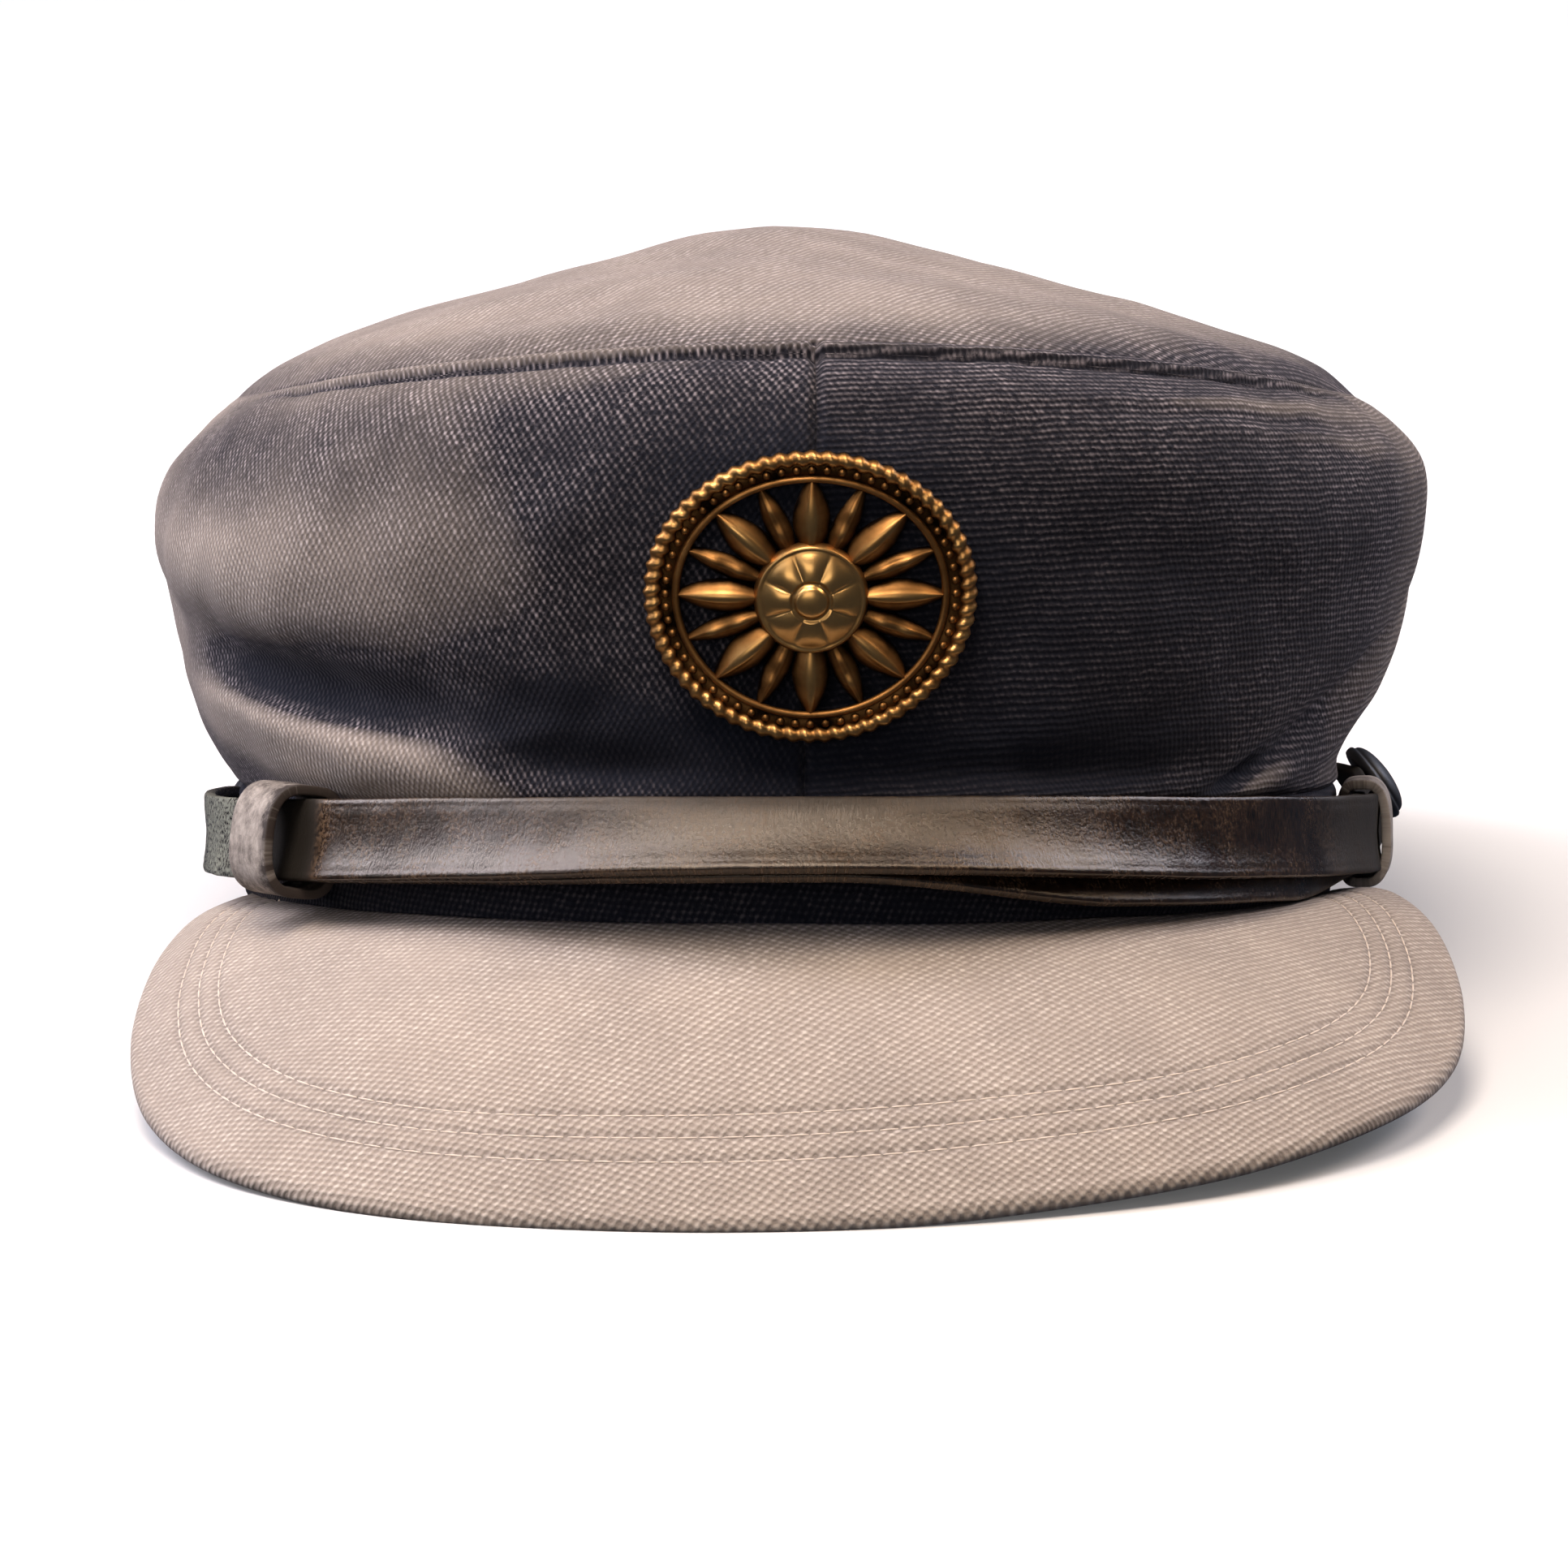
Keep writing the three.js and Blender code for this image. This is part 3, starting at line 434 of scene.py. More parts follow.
def band_surface(azimuth, share):
    low, top = share * BAND_RUN, (1 - share) * BAND_RUN
    out = 0.12 * ripple(arc(azimuth), 10 * share, 16, 15) - BAND_TOP_LINE * dip(top, 1.0)
    out -= BAND_LOW_LINE * dip(low, 0.8) + BAND_ROW * dip(low - BAND_ROW_AT, 0.5)
    return above_rest(band_skin(azimuth, share) + level_out(azimuth) * out[..., None])


_edge_points = np.array([(-s, r, left) for s, r, left, _ in PEAK_ROWS[:0:-1]]
                        + [(s, r, right) for s, r, _, right in PEAK_ROWS])


def peak_middle(across, inward):
    swing = 2 * across - 1
    edge = through(_edge_points, across, free_ends=True)
    azimuth = math.radians(PEAK_SPREAD) * swing
    root = oval(azimuth, SEAM_GAP, lerp(PEAK_ROOT_UP, PEAK_ROOT_CORNER_UP, swing**2))
    lift = math.sqrt(0.5) * PEAK_CROWN * 4 * inward * (1 - inward) * (1 - swing**4)
    points = edge + (root - edge) * np.asarray(inward)[..., None]
    points += lift[..., None] * np.stack([np.sin(azimuth), -np.cos(azimuth), np.ones_like(swing)], -1)
    return points


def peak_run(across):
    """Length of the peak from its edge in to the band."""
    edge, half, root = (peak_middle(across, np.full_like(across, k)) for k in (0, 0.5, 1))
    return np.linalg.norm(edge - half, axis=-1) + np.linalg.norm(half - root, axis=-1)


def peak_surface(across, inward, lift):
    """A place on the peak: its lift is 1 on the upper face and -1 on the lower one."""
    step = 0.01
    left, right = np.clip(across - step, 0, 1), np.clip(across + step, 0, 1)
    out, back = np.clip(inward - step, 0, 1), np.clip(inward + step, 0, 1)
    normal = np.cross(peak_middle(right, inward) - peak_middle(left, inward),
                      peak_middle(across, back) - peak_middle(across, out))
    normal /= np.maximum(np.linalg.norm(normal, axis=-1, keepdims=True), 1e-9)
    upright = np.zeros_like(normal)
    upright[..., 2] = np.minimum(1 / np.maximum(normal[..., 2], 0.1), 1.5)
    normal = lerp(normal, upright, ease(inward, 0.8, 1)[..., None])
    edge = inward * peak_run(across)
    middle = peak_middle(across, inward)
    fine = 0.1 * ripple(middle[..., 0], middle[..., 1], 26, 21) * ease(edge, 2, 8)
    fine += PEAK_PIPING * strip(edge, 0.4, 2.6)
    for row in STITCH_ROWS:
        fine -= PEAK_ROW * dip(edge - row, 0.5)
    fine = np.where(lift > 0, fine, 0) * np.abs(lift)
    return middle + normal * (lift * PEAK_THICK / 2 + fine)[..., None]


def peak_round(v):
    """Round the peak's section, from the lower face's root past the edge to the upper one's and
    down the root: the share inwards from the edge, and the lift."""
    low, high, root = v < NOSE_FROM, v > NOSE_TO, v > ROOT_FROM
    turn = (np.clip((v - NOSE_FROM) / (NOSE_TO - NOSE_FROM), 0, 1) - 0.5) * math.pi
    inward = PEAK_NOSE * (1 - np.cos(turn))
    inward = np.where(low, lerp(1, PEAK_NOSE, v / NOSE_FROM), inward)
    inward = np.where(high, lerp(PEAK_NOSE, 1, (v - NOSE_TO) / (ROOT_FROM - NOSE_TO)), inward)
    lift = np.where(low, -1.0, np.where(high, 1.0, np.sin(turn)))
    return np.where(root, 1.0, inward), np.where(root, 1 - 2 * (v - ROOT_FROM) / (1 - ROOT_FROM), lift)


# Resting plane and placing in the row frame

REST_RISE = (REST_UP_REAR - REST_UP_FRONT) / (HALF_LENGTH - PEAK_ROWS[0][1])
REST_SLIP = math.tan(math.radians(REST_ROLL))
TURN = Vector((-REST_SLIP, -REST_RISE, 1)).rotation_difference(Vector((0, 0, 1))).to_matrix()


def rest_height(x, y):
    return REST_UP_REAR + (y - HALF_LENGTH) * REST_RISE + x * REST_SLIP


def placed(points):
    """Points of the cap's frame, in millimetres, put in the row frame in metres."""
    return (np.asarray(points, float) @ np.array(TURN).T + CAP_PLACE) * MM


def placing():
    """The same move as a matrix."""
    move = Matrix.Translation(Vector(CAP_PLACE)) @ TURN.to_4x4()
    return Matrix.Scale(MM, 4) @ move


# Strap frame

def strap_frame(degrees, layer):
    azimuth = np.radians(degrees)
    outward = np.stack([np.sin(azimuth) / HALF_WIDTH, -np.cos(azimuth) / HALF_LENGTH, 0 * azimuth], -1)
    outward /= np.linalg.norm(outward, axis=-1, keepdims=True)
    right_end = ease(degrees, *RIGHT_END_TURNS)
    ahead = np.maximum(np.cos(azimuth), 0)
    lean = np.radians(STRAP_LEAN_AHEAD * ahead + STRAP_LEAN_MIDDLE * dip(degrees, STRAP_LEAN_REACH)
                      + RIGHT_END_TILT * right_end)
    up_axis = np.array((0, 0, 1.0))
    c, s = np.cos(lean)[..., None], np.sin(lean)[..., None]
    face = outward * c + up_axis * s
    across = up_axis * c - outward * s
    rise = STRAP_FRONT_RISE * ahead ** STRAP_RISE_FADE
    up = STRAP_SIDE_UP + rise + (STRAP_RIGHT_END_UP - STRAP_SIDE_UP) * right_end
    out = STRAP_CLEAR + STRAP_THICK / 2 + STRAP_WIDTH / 2 * np.sin(lean)
    near = np.minimum(np.abs(degrees - LEFT_SLIDER), np.abs(degrees - RIGHT_SLIDER))
    out = out + SLIDER_PROUD * (1 - ease(near, *SLIDER_PROUD_FADES))
    out = out + LEFT_SIDE_PROUD * ease(-degrees, *LEFT_SIDE_RISES) * (1 - ease(-degrees, *LEFT_SIDE_ENDS))
    if layer == "inner":
        up = up - INNER_DROP * ease(degrees, *INNER_DROPS) * (1 - ease(degrees, *INNER_DROP_ENDS))
        doubled = 0 * degrees
    else:
        doubled = ease(degrees - LEFT_SLIDER, *OUTER_STEPS_OUT)
    centre = oval(azimuth, out, up) + face * ((STRAP_THICK + LAYER_GAP) * doubled)[..., None]
    narrow = np.maximum(right_end, ease(-degrees, *LEFT_END_NARROWS))
    width = STRAP_WIDTH + (STRAP_END_WIDTH - STRAP_WIDTH) * narrow
    return centre, face, across, width


def strap_seat(degrees, layer, out):
    """Matrix in the cap's frame: X along the strap, Y up it and Z outwards."""
    centre, face, across, _ = (np.asarray(x)[0] for x in strap_frame(np.array([float(degrees)]), layer))
    along = np.cross(across, face)
    seat = Matrix(np.stack([along, across, face], 1).tolist()).to_4x4()
    seat.translation = Vector(centre + face * out)
    return seat


def strap_round(v, width, emboss):
    """Round the strap's section: up it and outwards, with creased lines near both edges."""
    turn = 2 * math.pi * v
    half, thick = width / 2, STRAP_THICK / 2
    c, s = np.cos(turn), np.sin(turn)
    up = half * np.sign(c) * np.abs(c) ** 0.35
    out = thick * np.sign(s) * np.abs(s) ** 0.5
    from_edge = half - np.abs(up)
    crease = emboss * dip(from_edge - 1.25, 0.28) - 0.25 * emboss * strip(from_edge, 0.1, 0.9)
    # The face is hollow, and flares out towards its lower edge
    crown = 0.16 * np.sqrt((up + 1.4) ** 2 + 3) - 0.05 * (up + 1.4) - 0.35
    return up, np.where(s > 0, out - crease + crown * ease(s, 0, 0.3), out)


def strap_surface(degrees, v, layer, emboss):
    centre, face, across, width = strap_frame(degrees, layer)
    up, out = strap_round(v, width, emboss)
    along = arc(np.radians(degrees))
    up = up + 0.06 * ripple(along, 0 * along, 20, 31)
    out = out + 0.05 * ripple(along, up, 7, 32) * (out > 0)
    return centre + across * up[..., None] + face * out[..., None]


def strap_weave(degrees, v):
    """Lengths along the strap and round its section."""
    up = strap_round(v, STRAP_WIDTH, 0)[0]
    back = STRAP_WIDTH / 2 + STRAP_THICK + STRAP_WIDTH + up
    return arc(np.radians(degrees)), np.where(v > 0.5, back, STRAP_WIDTH / 2 - up)


def loop_surface(u, v, seat, deep):
    """Round a strap loop's inside by its first share and across it by its second."""
    tall = STRAP_WIDTH + SLIDER_SPARE_UP + 2 * SLIDER_WALL
    c, s = np.cos(2 * math.pi * u), np.sin(2 * math.pi * u)
    y = tall / 2 * np.sign(s) * np.abs(s) ** np.where(c > 0, 0.8, 0.5)
    z = deep / 2 * np.sign(c) * np.abs(c) ** np.where(c > 0, 0.8, 0.5)
    x = (v - 0.5) * SLIDER_LENGTH + 0.25 * ripple(2 * c, 2 * s + 3 * v, 4, 41)
    wobble = 0.12 * ripple(3 * c + 8 * v, 3 * s, 5, 42)
    local = np.stack([x, y * (1 + wobble / tall), z + wobble * (c > 0)], -1)
    return local @ np.array(seat.to_3x3()).T + np.array(seat.translation)


# How faded or worn each place is, and where painted light and painted shade lie

# Fading of the side panels, with painted light and painted shade
def side_shade(azimuth, share):
    up = crown_section(azimuth, share)[1]
    top = (1 - share) * SIDE_RUN
    left = ease(-azimuth, -0.6, 0.3)
    # Paler along the rolled strip under the top seam, most on the left where the light falls: faded cloth and
    # painted light
    seam = (0.08 + 0.2 * left) * dip(top - 2.2, 2) + (0.04 + 0.14 * left) * dip(top - 7, 5)
    # Darker in the top seam's line and in the row of stitches under it: painted shade in the grooves
    lines = seam_weight(azimuth) * (1.1 * dip(top, 0.9) + 0.7 * dip(top - TOP_ROW_AT, 0.7))
    return np.minimum(seam - fold_out(azimuth, up, SIDE_FADES_PAINTED_LIGHT_AND_SHADE), MOST_FADED) - lines


def tip_shade(azimuth, share):
    edge = share * TIP_RUN
    # The right side near the seam, turned from the light, and the seam's line are darkened: painted shade
    right = ease(azimuth, 0.1, 0.9) * (1 - ease(azimuth, 1.6, 2.4)) * (1 - ease(edge, 8, 34))
    fresh = 0.3 * right + 1.2 * seam_weight(azimuth) * dip(edge, 0.9)
    return 0.21 + 0.36 * ease(edge, 1.5, 18) - fresh


def peak_shade(across, v):
    """Faded above, with painted shadow by the band and painted shade in the grooves of the stitches."""
    inward, lift = peak_round(v)
    edge = inward * peak_run(across)
    shadow = 0.5 * ease(inward, 0.8, 1) + 0.25 * sum(dip(edge - row, 0.6) for row in STITCH_ROWS)
    return np.where(lift > -0.4, PEAK_SHADE - shadow, UNDERSIDE_SHADE)


def strap_wear(degrees, v):
    edges = 0.2 * ease(np.abs(np.cos(2 * math.pi * v)), 0.9, 1)
    return 0.35 * dip(degrees - LEFT_SLIDER - 5.6, 1.0) + edges


def never_rubbed(degrees, v):
    """The strap's end behind the left loop."""
    return ease(-degrees, 58, 66) * (1 - 0.75 * ease(-degrees, 74, 92))


def strap_painted_shade(degrees, v):
    """Dull, with painted shade: in the left loop, near the right one, and on the upper half in front."""
    past_left, past_right = degrees - LEFT_SLIDER, degrees - RIGHT_SLIDER
    in_left = ease(past_left, -5, -2) * (1 - ease(past_left, 4, 6))
    near_right = 0.75 * ease(past_right, -26, -12) + 0.25 * ease(past_right, -8, -4)
    upper = 0.6 * ease(np.cos(2 * math.pi * v), -0.3, 0.6) * dip(degrees + 4, 24)
    return np.maximum(np.maximum(in_left, near_right), upper)


# Building with bmesh

def grid_mesh(across, up, surface, weave, weld=False, fill=False, **layers):
    """A grid set on a surface of two shares, with its weave's own UV map in millimetres and any named
    layers of values."""
    bm = bmesh.new()
    bmesh.ops.create_grid(bm, x_segments=across, y_segments=up, size=0.5)
    bm.verts.index_update()
    at = np.array([v.co[:2] for v in bm.verts]) + 0.5
    u, v = np.clip(at[:, 0], 0, 1), np.clip(at[:, 1], 0, 1)
    points = placed(surface(u, v))
    flat = np.stack(weave(u, v), -1).tolist()
    uv = bm.loops.layers.uv.new("weave")
    for face in bm.faces:
        for loop in face.loops:
            loop[uv].uv = flat[loop.vert.index]
    for name, values in layers.items():
        layer = bm.verts.layers.float.new(name)
        for vert, value in zip(bm.verts, values(u, v).tolist()):
            vert[layer] = value
    for vert, point in zip(bm.verts, points.tolist()):
        vert.co = point
    if weld:
        bmesh.ops.remove_doubles(bm, verts=bm.verts, dist=2e-6)
    if fill:
        bmesh.ops.holes_fill(bm, edges=open_edges(bm), sides=0)
        bmesh.ops.recalc_face_normals(bm, faces=bm.faces)
    return bm


def open_edges(bm):
    return [edge for edge in bm.edges if edge.is_boundary]


def turned_mesh(profile, steps, weld):
    """A profile of radii and heights, spun once round Z."""
    bm = bmesh.new()
    verts = [bm.verts.new((max(r, 0), 0, z)) for r, z in profile]
    edges = [bm.edges.new(pair) for pair in zip(verts, verts[1:])]
    bmesh.ops.spin(bm, geom=verts + edges, cent=(0, 0, 0), axis=(0, 0, 1),
                   angle=2 * math.pi, steps=steps, use_merge=True)
    bmesh.ops.remove_doubles(bm, verts=bm.verts, dist=weld)
    return bm


def footed(bm, height):
    """Brings an open relief's rim down to a height and closes it below."""
    skirt = bmesh.ops.extrude_edge_only(bm, edges=open_edges(bm))
    for vert in (item for item in skirt["geom"] if isinstance(item, bmesh.types.BMVert)):
        vert.co.z = height
    bmesh.ops.holes_fill(bm, edges=open_edges(bm), sides=0)
    bmesh.ops.recalc_face_normals(bm, faces=bm.faces)
    return bm


def join(bm, part, place=Matrix()):
    """Adds one bmesh to another, moved by a matrix."""
    bmesh.ops.transform(part, matrix=place, verts=part.verts)
    mesh = bpy.data.meshes.new("part")
    part.to_mesh(mesh)
    part.free()
    bm.from_mesh(mesh)
    bpy.data.meshes.remove(mesh)


def smooth_object(name, bm, material):
    """Makes a mesh object of a bmesh, at the origin."""
    mesh = bpy.data.meshes.new(name)
    bm.to_mesh(mesh)
    bm.free()
    mesh.polygons.foreach_set("use_smooth", [True] * len(mesh.polygons))
    mesh.materials.append(material)
    piece = bpy.data.objects.new(name, mesh)
    bpy.context.scene.collection.objects.link(piece)
    return piece


def finished(name, bm, material, node):
    """Makes a piece of a bmesh, riding on the cap."""
    piece = smooth_object(name, bm, material)
    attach(piece, "root")
    if node:
        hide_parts(node)
    return piece


def walled(piece, thick):
    """Gives a shell its thickness, inwards."""
    wall = piece.modifiers.new("wall", "SOLIDIFY")
    wall.thickness = thick * MM
    wall.offset = -1
    wall.use_quality_normals = True
    return piece


# Materials

def linear(code):
    """A hex colour in sRGB, as linear values."""
    values = [int(code[i:i + 2], 16) / 255 for i in (1, 3, 5)]
    return (*[x / 12.92 if x <= 0.04045 else ((x + 0.055) / 1.055) ** 2.4 for x in values], 1.0)


def add_node(tree, kind, inputs=None, **settings):
    """Adds a node with its settings, and its inputs as values or as sockets to link."""
    node = tree.nodes.new(kind)
    for key, value in settings.items():
        setattr(node, key, value)
    for key, value in (inputs or {}).items():
        if isinstance(value, bpy.types.NodeSocket):
            tree.links.new(value, node.inputs[key])
        else:
            node.inputs[key].default_value = value
    return node


def calculated(tree, operation, *values, clamp=False):
    node = add_node(tree, "ShaderNodeMath", dict(enumerate(values)), operation=operation, use_clamp=clamp)
    return node.outputs[0]


def mapped(tree, value, low, high, to_low=0.0, to_high=1.0):
    inputs = {"Value": value, "From Min": low, "From Max": high, "To Min": to_low, "To Max": to_high}
    return add_node(tree, "ShaderNodeMapRange", inputs).outputs[0]


def noise(tree, place, scale, detail, rough=0.5, output="Fac"):
    inputs = {"Vector": place, "Scale": scale, "Detail": detail, "Roughness": rough}
    return add_node(tree, "ShaderNodeTexNoise", inputs).outputs[output]


def mixed(tree, factor, first, second):
    inputs = {"Factor": factor, "A": first, "B": second}
    return add_node(tree, "ShaderNodeMix", inputs, data_type="RGBA").outputs[2]


def attribute(tree, name):
    return add_node(tree, "ShaderNodeAttribute", attribute_name=name).outputs["Fac"]


def weave_place(tree):
    """Place on the cloth or leather, in millimetres."""
    return add_node(tree, "ShaderNodeUVMap", uv_map="weave").outputs["UV"]


def object_place(tree):
    """Place in the row frame, in metres."""
    return add_node(tree, "ShaderNodeTexCoord").outputs["Object"]


def bumped(tree, height, strength, reach):
    inputs = {"Height": height, "Strength": strength, "Distance": reach * MM}
    return add_node(tree, "ShaderNodeBump", inputs).outputs[0]


def new_material(name):
    material = bpy.data.materials.new(name)
    material.use_nodes = True
    material.node_tree.nodes.clear()
    return material, material.node_tree


def shaded(material, inputs):
    """Ends a material's nodes in its shader."""
    tree = material.node_tree
    shader = add_node(tree, "ShaderNodeBsdfPrincipled", inputs)
    add_node(tree, "ShaderNodeOutputMaterial", {"Surface": shader.outputs["BSDF"]})
    return material


def twill(name, angle, settings, floats_share=1.0):
    """Wool and cotton twill of dark blue-grey and pale yarns: ridges run across it at an angle, a
    pale fleck shows where a light yarn floats over, and the sun has faded it to beige in places. The
    shade layer also carries painted light, towards the faded colours, and painted shade, towards
    blue-black."""
    material, tree = new_material(name)
    uv = place = weave_place(tree)
    # The yarns stray a little over several millimetres and jitter from one to the next
    for scale, reach in ((0.16, 0.9), (0.9, 0.34)):
        stray = noise(tree, uv, scale, 2.0, 0.65, "Color")
        for operation, inputs in (("SUBTRACT", {1: (0.5, 0.5, 0.5)}), ("SCALE", {"Scale": reach})):
            stray = add_node(tree, "ShaderNodeVectorMath", {0: stray, **inputs}, operation=operation)
            stray = stray.outputs[0]
        place = add_node(tree, "ShaderNodeVectorMath", {0: place, 1: stray}).outputs[0]
    place = add_node(tree, "ShaderNodeMapping",
                     {"Vector": place, "Rotation": (0, 0, -math.radians(angle))}).outputs[0]
    parts = add_node(tree, "ShaderNodeSeparateXYZ", {0: place})
    # Ridges lie a pitch apart, and each yarn float along them is about as long as the pitch
    ridge = calculated(tree, "MULTIPLY", parts.outputs["Y"], 2 * math.pi / settings.pitch)
    along = calculated(tree, "MULTIPLY", parts.outputs["X"], 2 * math.pi / settings.float_length)
    floats = calculated(tree, "SINE", calculated(tree, "MULTIPLY_ADD", ridge, 0.5, along))
    yarn = calculated(tree, "MULTIPLY_ADD", floats, settings.float_depth * floats_share,
                      calculated(tree, "SINE", ridge))
    high = mapped(tree, yarn, -1.2, 1.5)
    uneven = calculated(tree, "MULTIPLY", mapped(tree, noise(tree, uv, 0.9, 3.0, 0.65), 0.38, 0.62),
                        mapped(tree, noise(tree, uv, 0.11, 3.0, 0.65), 0.34, 0.62, 0.4, 1.3))
    fleck = calculated(tree, "MULTIPLY", calculated(tree, "POWER", high, 2.0), uneven)
    fibre = noise(tree, place, 2.4, 4.0, 0.65)
    hair = calculated(tree, "MULTIPLY", mapped(tree, fibre, 0.58, 0.8, 0.0, 0.5), high)
    # The shade layer: real fading and painted light above nought, painted shade below it
    worn = calculated(tree, "MULTIPLY_ADD", noise(tree, uv, 0.05, 5.0, 0.65), 0.5,
                      calculated(tree, "SUBTRACT", attribute(tree, "shade"), 0.25))
    fresh = mixed(tree, high, settings.dark, settings.yarn)
    fresh = mixed(tree, calculated(tree, "MAXIMUM", fleck, hair), fresh, settings.fleck)
    faded = mixed(tree, high, settings.faded_dark, settings.faded_yarn)
    faded = mixed(tree, fleck, faded, settings.faded_fleck)
    body = mixed(tree, mapped(tree, worn, 0.0, 1.0), fresh, faded)
    # Below nought the cloth goes towards the blue-black of cloth in shadow: painted shade
    body = mixed(tree, mapped(tree, worn, 0.0, -1.0, 0.0, 0.93), body, settings.painted_shade)
    return shaded(material, {
        "Base Color": body, "Roughness": 0.92, "Specular IOR Level": 0.15,
        "Normal": bumped(tree, calculated(tree, "MULTIPLY_ADD", fibre, 0.5, high), 0.6, 0.26),
        "Sheen Weight": 0.12, "Sheen Roughness": 0.5, "Sheen Tint": settings.bloom})


def bridle_leather(name, settings):
    """Bridle leather, dyed dark brown and polished: glossy, with fine cracks across it, brown wear
    where the dye has gone, and matt and olive with mould where it was never rubbed. In the left loop,
    near the right one and on its upper half in front it is dull and near black: painted shade."""
    material, tree = new_material(name)
    uv = weave_place(tree)
    long = add_node(tree, "ShaderNodeMapping", {"Vector": uv, "Scale": (2.6, 0.5, 1)}).outputs[0]
    crack = noise(tree, long, 1.2, 6.0, 0.7)
    patch = noise(tree, uv, 0.12, 6.0, 0.65)
    grain = noise(tree, uv, 1.5, 3.0, 0.6)
    speckle = mapped(tree, grain, 0.42, 0.62, 0.1, 1.6)
    worn = mapped(tree, calculated(tree, "ADD", patch, attribute(tree, "shade")), 0.44, 1.0)
    rubbed = calculated(tree, "MULTIPLY", worn, speckle, clamp=True)
    mould = calculated(tree, "MULTIPLY", mapped(tree, patch, 0.36, 0.56, 0.45), speckle)
    mould = calculated(tree, "MULTIPLY", attribute(tree, "matt"), mould, clamp=True)
    # Near black and dull where this layer is set: the colour is painted shade
    covered = attribute(tree, "covered")
    body = mixed(tree, mapped(tree, crack, 0.42, 0.6), settings.deep, settings.dye)
    for amount, over in ((rubbed, settings.wear), (mould, settings.mould), (covered, settings.deep)):
        body = mixed(tree, amount, body, over)
    rough = calculated(tree, "MULTIPLY_ADD", speckle, 0.1, mapped(tree, worn, 0.0, 1.0, 0.06, 0.22))
    rough = add_node(tree, "ShaderNodeMix",
                     {"Factor": calculated(tree, "MAXIMUM", mould, covered), "A": rough, "B": 0.95},
                     data_type="FLOAT").outputs[0]
    relief = calculated(tree, "MULTIPLY_ADD", grain, 0.9, crack)
    return shaded(material, {
        "Base Color": body, "Roughness": rough, "Normal": bumped(tree, relief, 0.6, 0.13),
        "IOR": 1.55, "Specular Tint": settings.shine})


def worn_loop_leather(name, settings):
    """Strap leather worn through to its suede side: pale, matt and fibrous, dark where dye is left."""
    material, tree = new_material(name)
    uv = weave_place(tree)
    fibre = noise(tree, uv, 1.4, 8.0, 0.75)
    total = calculated(tree, "ADD", noise(tree, uv, 0.4, 4.0), attribute(tree, "shade"))
    total = calculated(tree, "MULTIPLY_ADD", fibre, 0.9, total)
    body = mixed(tree, mapped(tree, total, 0.82, 1.32), settings.loop_dye, settings.loop_bare)
    return shaded(material, {
        "Base Color": body, "Roughness": 0.72, "Normal": bumped(tree, fibre, 0.6, 0.25)})


def stamped_brass(name, settings):
    """Brass stamped in relief and long handled: bright golden on what stands out, brown in hollows."""
    material, tree = new_material(name)
    blotch = noise(tree, object_place(tree), 260.0, 5.0)
    bright = calculated(tree, "MULTIPLY_ADD", blotch, 0.7, attribute(tree, "shade"))
    bright = mapped(tree, bright, 0.45, 1.2)
    ramp = add_node(tree, "ShaderNodeValToRGB", {"Fac": bright})
    stops = ramp.color_ramp.elements
    stops.new(0.5)
    for stop, tone in zip(stops, (settings.brown, settings.brass, settings.bright)):
        stop.color = tone
    return shaded(material, {
        "Base Color": ramp.outputs["Color"], "Metallic": 1.0,
        "Roughness": mapped(tree, bright, 0.0, 1.0, 0.58, 0.3), "Normal": bumped(tree, blotch, 0.2, 0.1)})


def turned_horn(name, settings):
    """Black horn, turned, its polish gone: a dull gloss with fine scuffs."""
    material, tree = new_material(name)
    scuff = noise(tree, object_place(tree), 600.0, 6.0)
    return shaded(material, {
        "Base Color": mixed(tree, scuff, settings.horn, settings.horn_worn),
        "Roughness": mapped(tree, scuff, 0.0, 1.0, 0.4, 0.7), "IOR": 1.54})


def cotton_thread(name, tone):
    """Mercerised cotton sewing thread: pale, a little shiny, twisted."""
    material, tree = new_material(name)
    lay = mapped(tree, noise(tree, object_place(tree), 900.0, 3.0), 0.0, 1.0, 0.7, 1.2)
    body = add_node(tree, "ShaderNodeHueSaturation", {"Color": tone, "Value": lay}).outputs[0]
    return shaded(material, {"Base Color": body, "Roughness": 0.6, "Sheen Weight": 0.2})


def painted_floor(settings):
    """Studio floor in matt emulsion, evenly pale out to where the lights don't reach."""
    material, tree = new_material("matt_emulsion_floor")
    place = object_place(tree)
    body = mixed(tree, noise(tree, place, 3.0, 3.0), settings.floor, settings.floor_pale)
    far = add_node(tree, "ShaderNodeVectorMath", {0: place}, operation="LENGTH").outputs["Value"]
    return shaded(material, {
        "Base Color": body, "Roughness": 0.9, "Emission Color": linear("#ffffff"),
        "Emission Strength": mapped(tree, far, 0.0, 1.3, 0.0, settings.floor_glow)})


# Settings

def colour(label, words, code):
    return bpy.props.FloatVectorProperty(name=label, description=words, default=linear(code), size=4,
                                         min=0, max=1, subtype="COLOR")


def power(label, words, watts):
    return bpy.props.FloatProperty(name=label, description=words, default=watts, min=0,
                                   subtype="POWER", unit="POWER")


def distance(label, words, metres):
    return bpy.props.FloatProperty(name=label, description=words, default=metres, min=0,
                                   subtype="DISTANCE", unit="LENGTH")


def number(label, words, value, least=0):
    return bpy.props.FloatProperty(name=label, description=words, default=value, min=least)


